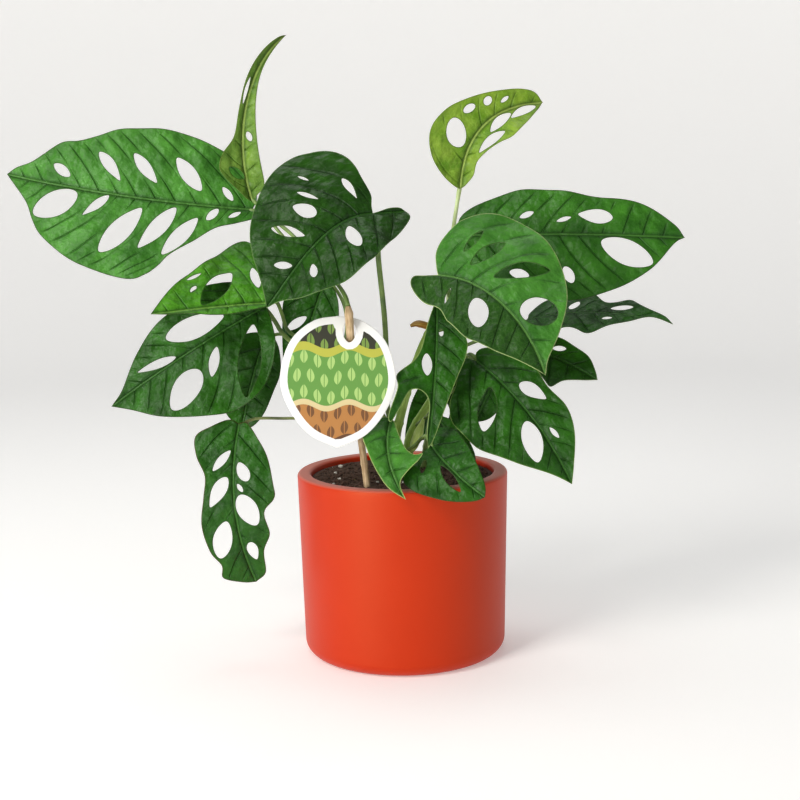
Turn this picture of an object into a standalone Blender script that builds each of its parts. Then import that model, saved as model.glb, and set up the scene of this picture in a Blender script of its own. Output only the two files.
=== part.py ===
"""Swiss cheese vine, Monstera adansonii, growing in a thick-walled red clay pot.

Five vines stand in plain holes in the soil. Every leaf is one solid: a holed blade, its midrib and its leaf
stalk, seated on a vine. A printed plant label hangs on the woody vine. X runs to the right, Y away from the
viewer, Z up, and the origin is the middle of the pot's underside.
"""

import math

import bmesh
import bpy
import numpy as np
from mathutils import Vector
from mathutils.geometry import delaunay_2d_cdt

MM = 0.001
GAP = 0.3
SHARP_ANGLE = 40.0
TUBE_SEAM = (0.31, 0.87, 0.38)

# The pot, in millimetres
POT_HEIGHT = 122.0
RIM_RADIUS = 70.0
BASE_RADIUS = 67.5
WALL = 9.2
FLOOR = 10.0
BASE_FILLET = 9.0
RIM_ROUND = 2.2
POT_SIDES = 52
FILLET_STEPS = 4

# The soil
SOIL_TOP = 118.0
SOIL_LUMPS = 0.9
LUMP_LENGTHS = (30.0, 33.0, 17.0)
LEVEL_EDGE = 8.0
SOIL_RINGS = 5
HOLE_DEPTH = 10.0
HOLE_GAP = 0.45
HOLE_SIDES = 10

# The leaf blades
BLADE = 0.7
LEAST_CURL = 1e-7
RIPPLE_LENGTH = 31.0
RIPPLE_REACH = 20.0
RIPPLE_MOST = 1.5
RIPPLE_SHIFT = 1.3
NOTCH = -1.5
LOOP_STEP = 5.6
LEAST_STEPS = 14
LARGE_HOLE = 14.0
SMALL_HOLE = 8.0
FIELD_STEP = 12.5
FIELD_ROWS = 6
ROW_STEP = 10.0
CLEAR_OF_EDGE = 3.0

# The midribs and the leaf stalks
MIDRIB_FROM = 2.0
MIDRIB_REACH = 0.8
MIDRIB_START = 1.25
MIDRIB_END = 0.45
MIDRIB_BURIED = 0.2
MIDRIB_STEPS = 5
STALK_SIDES = 6
STALK_STEP = 13.0
SEAT_RUN = 2.5

# The label: one side of its outline as distance down and out, and the slot that the vine passes through
LABEL_SIDE = [(0, 0), (3, 15), (14, 28.5), (30, 35), (46, 35.5), (62, 28.5), (75, 17), (83, 0)]
LABEL_STEP = 8.0
LABEL_THICK = 0.8
LABEL_TOP = (-38.0, -48.0, 229.5)
LABEL_DOWN = (-0.03, -0.045, -1.0)
LABEL_FACE = (0.0, -1.0, 0.04)
SLOT_WIDTH = 8.2
SLOT_HEIGHT = 13.5
SLOT_DROP = 9.7
SLOT_ASIDE = 7.0

# Each vine: its points from the foot in the soil to the tip, its radius at the foot and at the tip
VINES = {
    "vine_woody": dict(
        points=[(-23, -36, 108), (-23, -36, 114), (-23, -36, 120), (-25, -35, 139), (-28, -33, 166),
                (-30, -34, 194), (-31, -39, 209), (-31, -48, 219.5), (-31, -54, 228),
                (-31.5, -55, 236)],
        radius=(2.3, 2.9),
    ),
    "vine_centre": dict(
        points=[(-3, 0, 108), (-3, 0, 114), (-3, 0, 120), (-4, -2, 142), (2, -5, 168), (9, -8, 191),
                (15, -10, 207), (23, -10, 222)],
        radius=(3.6, 2.5),
    ),
    "vine_right": dict(
        points=[(6, 8, 108), (6, 8, 114), (6, 8, 120), (5, 7, 141), (19, 5, 166), (30, 2, 182),
                (35, -1, 190)],
        radius=(3.6, 2.7),
    ),
    "vine_back_left": dict(
        points=[(-5, 21, 108), (-5, 21, 114), (-5, 21, 120), (-9, 17, 146), (-20, 12, 168),
                (-33, 8, 187), (-44, 6, 204), (-49, 6, 212)],
        radius=(3, 2.1),
    ),
    "vine_back_right": dict(
        points=[(15, 24, 108), (15, 24, 114), (15, 24, 120), (20, 22, 150), (25, 20, 175),
                (29, 20, 198), (32, 20, 212)],
        radius=(3, 2.2),
    ),
}

# Each leaf, in millimetres and degrees.
# rib: the midrib's points in space, from the leaf stalk to the tip.
# face: where the upper side looks, at the stalk and at the tip.
# fold: how far the left and right halves rise from the midrib; curl: how much that changes in a centimetre.
# left, right: the margin, as distance along the midrib and out from it, left as seen from the stalk.
# holes: place along and out from the midrib (right is negative), length, width, and turn from the midrib.
# seat: the vine that carries the leaf and the height there, or None where the stalk is the vine's own tip.
# radius: the leaf stalk's half thickness; stalk: its points from the seat to just short of the blade.
LEAVES = {
    "leaf_left_upper": dict(
        rib=[(-97, 12, 296), (-170, 4, 305), (-258, 20, 322)],
        face=[(0, -1, 0.35), (0, -1, 0.25)], fold=(8, 8), curl=(-2, -2), ripple=0.8,
        left=[(-3, 6), (9, 11), (22, 15.5), (35, 26), (48, 36), (54, 44), (61, 51), (71, 55.5),
              (94, 52), (110, 47), (128, 36.5), (137, 27), (146, 15)],
        right=[(-4, -8), (0, -20), (10, -33), (20, -38), (45, -46), (66, -47.5), (90, -44), (107, -37),
               (120, -31), (133, -27), (149, -12), (159, -6)],
        holes=[(127, -10, 14, 6.5, 155), (95, -18, 23, 7.5, 137), (71, -20, 24, 8, 136),
               (41.5, -19.5, 26, 10, 132), (15, -9, 11, 4.5, 130), (126, 14, 34, 20, 38),
               (99, 9.5, 20, 6, 49), (80, 23.5, 37, 13, 57), (57.5, 19, 35, 9.5, 57),
               (43, 23, 32, 9, 54), (24, 6, 11, 5, 50), (10, 5, 7, 3, 34)],
        seat=("vine_woody", None), radius=1.6,
        stalk=[(-34, -52, 243), (-40, -42, 251), (-52, -20, 262), (-70, 0, 280), (-88, 11, 293)],
    ),
    "leaf_young_upright": dict(
        rib=[(-94, -4, 302), (-98, -10, 332), (-90.5, -8, 376), (-69.5, 10, 407)],
        face=[(0.1, -1, 0), (0.1, -1, 0)], fold=(22, 22), curl=(0, 0), ripple=0.3,
        left=[(2, 3), (10, 8), (19, 15), (24, 17), (31, 14), (41, 6), (58, 4.5), (76, 5), (92, 4.5),
              (110, 2.5)],
        right=[(2, -4), (8, -11), (19, -12), (43, -9.5), (67, -5.5), (84, -3), (104, -1.5)],
        holes=[(72, -1, 11, 4, 6), (41, -4.5, 6.5, 4, 30), (19, 4, 13, 6, 50)],
        seat=("vine_woody", 233), radius=1.1,
        stalk=[(-33, -45, 241), (-40, -32, 250), (-52, -13, 260), (-64, -16, 268), (-76, -13, 281),
               (-87, -7, 295)],
    ),
    "leaf_centre_left": dict(
        rib=[(-17, -30, 292), (-38, -44, 285), (-60, -56, 264), (-81, -62, 236)],
        face=[(0, -1, 0.4), (-0.15, -1, 0.15)], fold=(30, 4), curl=(-6, -4), ripple=0.8,
        left=[(-6, -1), (-15, -3), (-23, -2), (-25.5, 5), (-19, 13), (-5, 24), (14, 33), (38, 37),
              (58, 33), (76, 19), (86, 6)],
        right=[(-2, -5), (-4, -13), (-1, -26), (1.5, -40), (6, -49), (12, -54), (20, -57), (37, -52),
               (55, -42), (70, -29), (84, -11)],
        holes=[(6, -20, 15, 4, 98), (34, -20, 14, 8, 111), (49, -18, 20, 6.5, 112), (21, -40, 6, 3, 98),
               (25, -28, 11, 3, 120), (25, 15, 18, 10, 66), (60, 13, 9, 5, 49), (67, -7, 11, 4.5, 121)],
        seat=("vine_centre", 144), radius=1.8,
        stalk=[(-9, -8, 165), (-9, -9, 195), (-9.7, -13, 225), (-12.7, -19, 262), (-13.5, -23, 282)],
    ),
    "leaf_left_tilted": dict(
        rib=[(-88, 2, 235), (-122, -17, 234), (-157, -36, 231.5)],
        face=[(-0.1, -0.8, 0.65), (-0.1, -0.85, 0.55)], fold=(4, 4), curl=(-4, -2), ripple=0.6,
        left=[(0, 3.5), (16, 6.5), (30, 7.5), (41, 6.5), (55, 3), (68, 2)],
        right=[(-2, -10), (-6, -28), (-10, -46), (-7, -57), (8, -52), (23, -42), (38, -32.5), (52, -24),
               (66, -12.5)],
        holes=[(29.5, -15, 38, 13, 41), (0.5, -21, 17, 7, 85), (42, -25.5, 11, 2.5, 18),
               (45.5, -15.5, 7, 3, 42)],
        seat=("vine_back_left", 206), radius=1.3,
        stalk=[(-54, 18, 206), (-66, 22, 208), (-76, 24, 215), (-79, 20, 226), (-82, 10, 235)],
    ),
    "leaf_left_lower": dict(
        rib=[(-89, 12, 232), (-141, 0, 202.5), (-194, 8, 167)],
        face=[(-0.15, -1, 0.25), (-0.1, -1, 0.2)], fold=(8, 8), curl=(-3, -3), ripple=0.8,
        left=[(0, 2), (2, 10), (7, 24), (13, 33), (22, 42), (32, 48), (43, 50.5), (60, 48), (81, 37),
              (98, 25.5), (114, 10)],
        right=[(-4, -7), (3, -18), (16, -29), (36, -33), (57, -29), (75, -25.5), (88, -19), (100, -12),
               (113, -4)],
        holes=[(46, -12.5, 39, 14, 170), (82, -3.5, 26, 4.5, 168), (74, 20.5, 32, 17, 21),
               (48, 15, 20, 7, 49), (29, 26, 46, 14, 54)],
        seat=("vine_back_left", 197), radius=1.5,
        stalk=[(-50, 12, 195), (-66, 17, 202), (-78, 18, 212), (-84, 17, 222)],
    ),
    "leaf_left_back": dict(
        rib=[(-93, 40, 208), (-102, 32, 180), (-110, 30, 146)],
        face=[(-0.1, -1, 0.25), (-0.1, -1, 0.2)], fold=(6, 6), curl=(-3, -3), ripple=0.5,
        left=[(-2, 6), (6, 13), (20, 18), (34, 17), (50, 14), (61, 8)],
        right=[(-2, -7), (5, -17), (22, -21), (40, -19), (56, -13)],
        holes=[(44, -4, 9, 4, 80)],
        seat=("vine_back_left", 186), radius=1.1,
        stalk=[(-36, 22, 188), (-43, 33, 190), (-62, 41, 200), (-82, 44, 210)],
    ),
    "leaf_left_hanging": dict(
        rib=[(-108, -4, 154), (-111, -18, 107), (-99, -12, 50)],
        face=[(0, -1, 0.1), (0, -1, -0.1)], fold=(4, 4), curl=(-3, -3), ripple=1,
        left=[(-3, 5), (5, 13), (19, 22), (42, 27), (51, 26), (60, 19), (76, 20), (88, 13), (103, 9)],
        right=[(-3, -7), (3, -17.5), (10, -27), (21, -25), (33, -18.5), (46, -20), (62, -23), (80, -22),
               (90, -17), (98, -19), (105, -8)],
        holes=[(23, -8, 16, 5, 142), (43, -10, 21, 8, 147), (74, -11.5, 24, 12, 156),
               (30, 6.5, 13, 7, 26), (41, 4.5, 6, 3, 31), (57, 8.5, 24, 13, 21), (86, 6, 13, 7, 4)],
        seat=("vine_back_left", 165), radius=1,
        stalk=[(-38, 5, 160), (-56, 2, 158), (-76, 0, 158), (-98, 0, 158)],
    ),
    "leaf_behind_label": dict(
        rib=[(-52, 40, 243), (-64, 30, 208), (-73, 25, 171)],
        face=[(0, -1, 0.2), (0, -1, 0.1)], fold=(6, 6), curl=(-3, -3), ripple=0.5,
        left=[(-2, 6), (6, 13), (20, 18), (38, 19), (56, 15), (70, 7)],
        right=[(-2, -7), (7, -18), (18, -22), (30, -19), (48, -14), (66, -8)],
        holes=[(30, -9, 16, 6, 140), (42, 7, 15, 6, 40), (57, -5, 11, 4, 150)],
        seat=("vine_back_left", 199), radius=1.2,
        stalk=[(-36, 24, 213), (-38, 40, 230), (-46, 46, 243)],
    ),
    "leaf_young_right": dict(
        rib=[(42, 16, 309), (55, 12, 345), (97, 22, 362)],
        face=[(0.1, -1, 0.1), (0.2, -0.9, 0.6)], fold=(12, 16), curl=(2, 4), ripple=0.5,
        left=[(-1, 3), (5, 13), (14, 23.5), (24, 29), (34, 26.5), (46, 20), (62, 14), (80, 9)],
        right=[(0, -3), (7, -8), (16, -8.5), (26, -12), (40, -17), (54, -21), (68, -17), (79, -8)],
        holes=[(28, 12, 18, 12, 55), (44, 14, 6, 5.5, 160), (54, 11, 5, 5, 40), (51, -2, 24, 8.5, 6),
               (37, -10.5, 26, 5, 167), (69, -5, 17, 6, 14)],
        seat=("vine_back_right", None), radius=1.3,
        stalk=[(33, 21, 235), (34, 22, 262), (37.7, 21, 285), (40.5, 19, 302)],
    ),
    "leaf_right_back": dict(
        rib=[(44, 30, 276), (107, 12, 276), (190, 14, 272)],
        face=[(0.1, -1, 0.3), (0.1, -1, 0.45)], fold=(8, 4), curl=(-3, -3), ripple=0.8,
        left=[(-4, 7), (0, 15), (14, 22.5), (37, 30), (64, 30), (92, 25.5), (118, 23), (141, 9.5)],
        right=[(-3, -9), (6, -20), (30, -34), (52, -43), (75, -45), (100, -38), (124, -24), (141, -5)],
        holes=[(43, 13, 10, 4, 22), (89, 12.5, 23, 9, 175), (68, 10, 10, 3, 17),
               (111, -11, 37, 21, 156), (72, -28, 12, 7, 118), (40, -27.5, 13, 6.5, 168)],
        seat=("vine_back_right", 205), radius=1.6,
        stalk=[(37, 29, 222), (39, 34, 252), (40, 36, 270)],
    ),
    "leaf_right_front": dict(
        rib=[(26, -40, 253), (53, -58, 244), (73, -72, 224), (87, -82, 194)],
        face=[(0.1, -1, 0.45), (0.1, -1, 0.15)], fold=(4, 10), curl=(-4, -5), ripple=0.8,
        left=[(-4, 5), (-8, 17), (-6, 31), (2, 42), (15, 53), (32, 53), (50, 46), (66, 34), (80, 18),
              (91, 5)],
        right=[(-10, -1), (-18, -2), (-18, -8), (-11, -16), (-1, -22), (12, -24), (28, -30.5),
               (50, -31), (68, -25), (85, -13)],
        holes=[(20, 23, 25, 7, 73), (11, 27, 18, 3.5, 80), (41, 24, 32, 9, 58), (64.5, 14, 22, 17, 58),
               (41.5, -14.5, 22, 13, 146), (13, -14, 11, 3, 100)],
        seat=("vine_centre", 215), radius=1.7,
        stalk=[(31, -13, 219), (34, -17, 232), (30, -28, 246)],
    ),
    "leaf_right_edge_on": dict(
        rib=[(89, 31, 219), (135, 11, 224), (179, -6, 216)],
        face=[(0, -0.42, 1), (0, -0.42, 1)], fold=(0, 0), curl=(0, 0), ripple=1.2,
        left=[(-2, 8), (3, 18), (14, 23), (27, 25), (40, 23), (50, 15), (63, 20), (73, 15), (89, 9)],
        right=[(-2, -9), (4, -20), (16, -27), (28, -29), (38, -27), (47, -28), (58, -23), (71, -10),
               (83, 2)],
        holes=[(29, 10, 12, 7, 79), (62, 8, 15, 7, 22), (56, -9, 7, 4, 15)],
        seat=("vine_back_right", 196), radius=1.2,
        stalk=[(50, 24, 204), (66, 33, 208), (82, 34, 215)],
    ),
    "leaf_right_small": dict(
        rib=[(91, 16, 198), (110, 2, 192), (129, -10, 181)],
        face=[(0.1, -0.8, 0.6), (0.1, -0.8, 0.6)], fold=(0, 0), curl=(-5, -5), ripple=0.8,
        left=[(-1, 6), (2, 14), (9, 17), (22, 15), (34, 12), (44, 5)],
        right=[(0, -7), (8, -13), (19, -19), (27, -22), (32, -14), (44, -5)],
        holes=[(14, 8, 9, 5, 22)],
        seat=("vine_back_right", 188), radius=1.1,
        stalk=[(48, 20, 194), (68, 23, 196), (85, 20, 198)],
    ),
    "leaf_right_lower": dict(
        rib=[(50, -22, 196), (80, -44, 166), (106, -58, 122)],
        face=[(0.1, -1, 0.3), (0.1, -1, 0.1)], fold=(8, 10), curl=(-4, -4), ripple=0.8,
        left=[(-5, 4), (-3, 10), (8, 17), (24, 23), (42, 20), (58, 22), (74, 17), (90, 7)],
        right=[(-9, -5), (-4, -14), (3, -23), (9, -34), (20, -41), (41, -41), (56, -36), (74, -23.5),
               (91, -8)],
        holes=[(41, 10, 16, 8, 33), (67, -6.5, 26, 12, 165), (68, 6, 8, 3, 9), (30, -19, 30, 11, 134)],
        seat=("vine_right", None), radius=1.4,
        stalk=[(42, -9, 197), (46, -16, 200)],
    ),
    "leaf_centre": dict(
        rib=[(24, -20, 233), (22, -42, 194), (16, -63, 147)],
        face=[(-0.15, -1, 0.2), (0.1, -1, 0.1)], fold=(6, 8), curl=(-3, -3), ripple=0.8,
        left=[(1, 4), (12, 9), (24, 19), (36, 19), (50, 14), (70, 8), (90, 3)],
        right=[(1, -2), (14, -6), (31, -9.5), (40, -14), (50, -24), (60, -23), (78, -27), (83, -25),
               (72, -20), (61, -15), (60, -8), (67, -2.5), (86, -2)],
        holes=[(42, -5.5, 15, 6.5, 5), (20, 3, 5, 3, 7)],
        seat=("vine_centre", None), radius=1.4,
        stalk=[(24, -14, 228)],
    ),
    "leaf_over_rim": dict(
        rib=[(19, -54, 147), (32, -72, 134), (50, -82, 120)],
        face=[(0, -1, 0.5), (0, -1, 0.3)], fold=(4, 4), curl=(-6, -6), ripple=0.4,
        left=[(-9, 4), (-11, 13), (-4, 18.5), (10, 18.5), (21, 17), (37, 11.5), (47, 5.5)],
        right=[(0, -4), (4, -15), (9, -27), (17, -26.5), (27, -21.5), (37, -15), (47, -6)],
        holes=[(27, -5, 21, 6, 171), (10, -12, 9, 3.5, 128)],
        seat=("vine_right", 134), radius=1.2,
        stalk=[(9, -14, 141), (13, -34, 149), (16, -47, 152)],
    ),
    "leaf_behind_rim_leaf": dict(
        rib=[(24, -20, 158), (36, -30, 145), (47, -34, 129)],
        face=[(0.2, -1, 0.3), (0.2, -1, 0.2)], fold=(4, 4), curl=(-6, -6), ripple=0.4,
        left=[(-1, 3), (6, 6.5), (20, 7), (33, 4.5)],
        right=[(-1, -3), (6, -9), (18, -13), (31, -9)],
        holes=[],
        seat=("vine_right", 150), radius=1,
        stalk=[(15, -7, 157), (20, -15, 161)],
    ),
    "leaf_low_back": dict(
        rib=[(40, 42, 178), (24, 40, 158), (2, 46, 132)],
        face=[(0.2, -1, 0.3), (0.1, -1, 0.2)], fold=(6, 6), curl=(-3, -3), ripple=0.5,
        left=[(-3, 6), (5, 13), (20, 17), (38, 14), (52, 7)],
        right=[(-3, -7), (5, -15), (18, -18), (34, -15), (50, -7)],
        holes=[(24, 8, 13, 5, 40)],
        seat=("vine_back_right", 168), radius=1.1,
        stalk=[(31, 28, 180), (38, 37, 187), (43, 42, 185)],
    ),
    "leaf_low_right": dict(
        rib=[(66, 22, 184), (58, 16, 168), (50, 18, 150)],
        face=[(0.2, -1, 0.3), (0.1, -1, 0.2)], fold=(6, 6), curl=(-3, -3), ripple=0.4,
        left=[(-2, 5), (8, 11), (20, 12), (32, 8)],
        right=[(-2, -5), (8, -11), (20, -12), (32, -8)],
        holes=[(14, 6, 9, 3.5, 40)],
        seat=("vine_back_right", 160), radius=1,
        stalk=[(42, 30, 176), (56, 32, 188), (65, 28, 190)],
    ),
    "leaf_front_small": dict(
        rib=[(-7, -38, 161), (-8, -63, 140), (2, -80, 119)],
        face=[(-0.1, -1, 0.3), (0, -1, -0.1)], fold=(15, 6), curl=(0, 0), ripple=0.3,
        left=[(1, 3), (14, 8), (30, 13), (38, 18), (40.5, 23), (44, 19), (47, 9), (51, 2)],
        right=[(-2, -4), (3, -11), (12, -16), (24, -12.5), (38, -9), (50, -6)],
        holes=[],
        seat=("vine_centre", 134), radius=1.2,
        stalk=[(-5, -14, 149), (-7, -26, 160), (-7, -33, 162.5)],
    ),
}

COLOURS = {
    "glazed clay": ((0.62, 0.058, 0.022), 0.45),
    "potting soil": ((0.024, 0.013, 0.010), 0.95),
    "leaf": ((0.035, 0.150, 0.022), 0.4),
    "young leaf": ((0.140, 0.300, 0.040), 0.4),
    "woody vine": ((0.520, 0.300, 0.130), 0.7),
    "green vine": ((0.190, 0.290, 0.070), 0.55),
    "label": ((0.80, 0.80, 0.78), 0.4),
}


def material(name):
    """The Principled material of this name, made on first use."""
    found = bpy.data.materials.get(name)
    if found:
        return found
    colour, roughness = COLOURS[name]
    made = bpy.data.materials.new(name)
    made.use_nodes = True
    shader = made.node_tree.nodes["Principled BSDF"]
    shader.inputs["Base Color"].default_value = (*colour, 1.0)
    shader.inputs["Roughness"].default_value = roughness
    made.diffuse_color = (*colour, 1.0)
    return made


def add_object(name, mesh, finish):
    """An object of this mesh in the scene, with its material, shaded smooth except along sharp edges."""
    mesh.materials.append(material(finish))
    mesh.shade_smooth()
    mesh.set_sharp_from_angle(angle=math.radians(SHARP_ANGLE))
    made = bpy.data.objects.new(name, mesh)
    bpy.context.scene.collection.objects.link(made)
    return made


def mesh_from(name, points, faces):
    """A mesh of points given in millimetres, with its faces turned outwards."""
    mesh = bpy.data.meshes.new(name)
    mesh.from_pydata([tuple(point) for point in np.asarray(points) * MM], [], faces)
    work = bmesh.new()
    work.from_mesh(mesh)
    bmesh.ops.recalc_face_normals(work, faces=work.faces)
    work.to_mesh(mesh)
    work.free()
    return mesh


def apply_boolean(target, cutter, operation):
    """Applies one Boolean to the target and removes the cutter."""
    step = target.modifiers.new(operation.lower(), "BOOLEAN")
    step.operation = operation
    step.object = cutter
    graph = bpy.context.evaluated_depsgraph_get()
    whole = bpy.data.meshes.new_from_object(target.evaluated_get(graph))
    target.modifiers.clear()
    target.data = whole
    bpy.data.objects.remove(cutter)


def through(points, step, ends=True):
    """Points every step or so along the smooth Catmull-Rom curve through the given ones."""
    given = np.asarray(points, float)
    given = np.vstack([2 * given[0] - given[1], given, 2 * given[-1] - given[-2]])
    found = []
    for before, start, end, after in zip(given, given[1:], given[2:], given[3:]):
        count = max(1, round(float(np.linalg.norm(end - start)) / step))
        for t in np.arange(count) / count:
            found.append(
                0.5 * (2 * start + (end - before) * t + (2 * before - 5 * start + 4 * end - after) * t**2
                       + (3 * start - before - 3 * end + after) * t**3)
            )
    if ends:
        found.append(given[-2])
    return np.array(found)


def tube(name, centres, radii, sides):
    """A closed round tube along the centres, each ring square to the path and turned with it."""
    path = np.asarray(centres, float)
    ahead = np.gradient(path, axis=0)
    ahead /= np.linalg.norm(ahead, axis=1)[:, None]
    across = np.cross(ahead[0], TUBE_SEAM)
    rings = []
    for centre, forward, radius in zip(path, ahead, radii):
        across = across - forward * across.dot(forward)
        across /= np.linalg.norm(across)
        other = np.cross(forward, across)
        for turn in np.arange(sides) * 2 * math.pi / sides:
            rings.append(centre + radius * (math.cos(turn) * across + math.sin(turn) * other))
    faces = [tuple(range(sides))]
    for ring in range(len(path) - 1):
        for side in range(sides):
            low, high = ring * sides, (ring + 1) * sides
            after = (side + 1) % sides
            faces.append((low + side, low + after, high + after, high + side))
    faces.append(tuple(range(len(rings) - sides, len(rings))))
    return mesh_from(name, rings, faces)


def turned(name, profile, sides):
    """A solid turned about Z from a closed profile of (radius, height), whose ends lie on the axis."""
    work = bmesh.new()
    points = [work.verts.new((radius * MM, 0, height * MM)) for radius, height in profile]
    edges = [work.edges.new(pair) for pair in zip(points, points[1:])]
    bmesh.ops.spin(
        work, geom=points + edges, cent=(0, 0, 0), axis=(0, 0, 1), angle=2 * math.pi, steps=sides,
        use_merge=True,
    )
    bmesh.ops.remove_doubles(work, verts=work.verts, dist=1e-6)
    bmesh.ops.recalc_face_normals(work, faces=work.faces)
    mesh = bpy.data.meshes.new(name)
    work.to_mesh(mesh)
    work.free()
    return mesh


def arc(centre, radius, start, end, steps):
    """Points on an arc of a profile, from one angle to another in degrees."""
    turns = np.radians(np.linspace(start, end, steps + 1))
    return [(centre[0] + radius * math.cos(turn), centre[1] + radius * math.sin(turn)) for turn in turns]


def make_pot():
    """A thick-walled cup that widens a little towards its rim, with a rounded foot and a softened rim."""
    rim_middle = POT_HEIGHT - RIM_ROUND
    inner_foot = BASE_RADIUS - WALL
    profile = [(0, 0)]
    profile += arc((BASE_RADIUS - BASE_FILLET, BASE_FILLET), BASE_FILLET, -90, 0, FILLET_STEPS)
    profile += arc((RIM_RADIUS - RIM_ROUND, rim_middle), RIM_ROUND, 0, 90, 2)
    profile += arc((RIM_RADIUS - WALL + RIM_ROUND, rim_middle), RIM_ROUND, 90, 180, 2)
    profile += arc((inner_foot - BASE_FILLET, FLOOR + BASE_FILLET), BASE_FILLET, 0, -90, 2)
    profile += [(0, FLOOR)]
    add_object("pot", turned("pot", profile, POT_SIDES), "glazed clay")


def make_soil():
    """The soil fills the pot, its top a little lumpy, with a plain hole where each vine stands."""
    inner_top = RIM_RADIUS - WALL - GAP
    inner_foot = BASE_RADIUS - WALL - GAP
    top_radius = inner_foot + (inner_top - inner_foot) * (SOIL_TOP - FLOOR) / (POT_HEIGHT - FLOOR)
    bottom = FLOOR + GAP
    profile = [(0, bottom)]
    profile += arc((inner_foot - BASE_FILLET, bottom + BASE_FILLET), BASE_FILLET, -90, 0, 2)
    profile += [(top_radius * ring / SOIL_RINGS, SOIL_TOP) for ring in range(SOIL_RINGS, -1, -1)]
    mesh = turned("soil", profile, POT_SIDES)
    across, back, aslant = (2 * math.pi / length for length in LUMP_LENGTHS)
    for point in mesh.vertices:
        x, y, z = point.co / MM
        if z > SOIL_TOP - GAP:
            lump = math.sin(across * x + 1) * math.cos(back * y) + 0.5 * math.sin(aslant * (x - y))
            inward = max(0.0, top_radius - math.hypot(x, y))
            point.co.z += SOIL_LUMPS * lump * MM * min(1.0, inward / LEVEL_EDGE)
    soil = add_object("soil", mesh, "potting soil")
    for vine in VINES.values():
        foot = Vector(vine["points"][0])
        radius = vine["radius"][0] + HOLE_GAP
        above = SOIL_TOP + 2 * HOLE_DEPTH
        rings = [(foot.x, foot.y, SOIL_TOP - HOLE_DEPTH), (foot.x, foot.y, above)]
        cutter = add_object("hole", tube("hole", rings, [radius, radius], HOLE_SIDES), "potting soil")
        apply_boolean(soil, cutter, "DIFFERENCE")


def vine_path(name):
    """A vine's ring centres and their radii."""
    vine = VINES[name]
    points = through(vine["points"], STALK_STEP)
    points[0][2] = SOIL_TOP - HOLE_DEPTH + GAP
    return points, np.linspace(*vine["radius"], len(points))


def make_vines():
    """Each vine is a tapered stem, its foot standing on the bottom of its hole."""
    for name in VINES:
        points, radii = vine_path(name)
        finish = "woody vine" if name == "vine_woody" else "green vine"
        add_object(name, tube(name, points, radii, HOLE_SIDES), finish)


def seat_on(name, height, toward):
    """A leaf stalk's first two points: straight out from the vine's side at a height, or on from its tip."""
    points, radii = vine_path(name)
    ahead = unit(np.gradient(points, axis=0))
    if height is None:
        away, reach, centre = ahead[-1], GAP, points[-1]
    else:
        share = np.interp(height, points[:, 2], np.arange(len(points)))
        low = min(int(share), len(points) - 2)
        centre = points[low] + (share - low) * (points[low + 1] - points[low])
        along = unit(points[low + 1] - points[low])
        away = np.asarray(toward, float) - centre
        away = unit(away - along * away.dot(along))
        reach = GAP + np.interp(share, np.arange(len(points)), radii)
    return [centre + away * reach, centre + away * (reach + SEAT_RUN)]


def unit(vectors):
    vectors = np.asarray(vectors, float)
    return vectors / np.linalg.norm(vectors, axis=-1, keepdims=True)


def on_blade(leaf, along, out, lift=0.0):
    """Points of a blade in space, from distances along the midrib, out from it and above the sheet's middle.

    The midrib is the polynomial through its points. Each half rises from it by the fold angle, which changes
    with the distance by the curl, so a row across the blade is an arc. The blade ripples towards its margin
    by a sine of the distance along.
    """
    along, out = np.atleast_1d(along).astype(float), np.atleast_1d(out).astype(float)
    rib = np.asarray(leaf["rib"], float)
    steps = np.concatenate([[0], np.cumsum(np.linalg.norm(np.diff(rib, axis=0), axis=1))])
    share = np.clip(along / steps[-1], 0, None)[:, None]
    curve = np.polyfit(steps / steps[-1], rib, len(rib) - 1)
    top = len(rib) - 1
    place = sum(share ** (top - k) * curve[k] for k in range(top + 1))
    ahead = sum((top - k) * share ** (top - k - 1) * curve[k] for k in range(top))
    place = place + np.minimum(along / steps[-1], 0)[:, None] * ahead
    ahead = unit(ahead)
    start, end = unit(leaf["face"])
    mix = np.clip(share, 0, 1)
    up = start * (1 - mix) + end * mix
    up = unit(up - (up * ahead).sum(1)[:, None] * ahead)
    left = np.cross(up, ahead)
    half = (out < 0).astype(int)
    fold = np.radians(leaf["fold"])[half]
    curl = np.radians(leaf["curl"])[half] / 10 + LEAST_CURL
    reach, side = np.abs(out), np.sign(out)
    tilt = fold + curl * reach
    sideways = (np.sin(tilt) - np.sin(fold)) / curl
    rise = (np.cos(fold) - np.cos(tilt)) / curl
    wave = 2 * math.pi * along / RIPPLE_LENGTH + RIPPLE_SHIFT * half
    rise = rise + leaf["ripple"] * np.minimum(reach / RIPPLE_REACH, RIPPLE_MOST) ** 2 * np.sin(wave)
    normal = np.cos(tilt)[:, None] * up - (side * np.sin(tilt))[:, None] * left
    return place + (side * sideways)[:, None] * left + rise[:, None] * up + lift * normal


def length_of(leaf):
    return float(np.linalg.norm(np.diff(np.asarray(leaf["rib"], float), axis=0), axis=1).sum())


def margin_of(leaf):
    """The blade's outline as one loop: up the right side to the tip and down the left side to the notch."""
    length = length_of(leaf)
    notch, tip = (NOTCH, 0.0), (length, 0.0)
    step = min(LOOP_STEP, length / LEAST_STEPS)
    right = through([notch, *leaf["right"], tip], step, ends=False)
    left = through([notch, *leaf["left"], tip], step)[:0:-1]
    return np.vstack([right, left])


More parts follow.
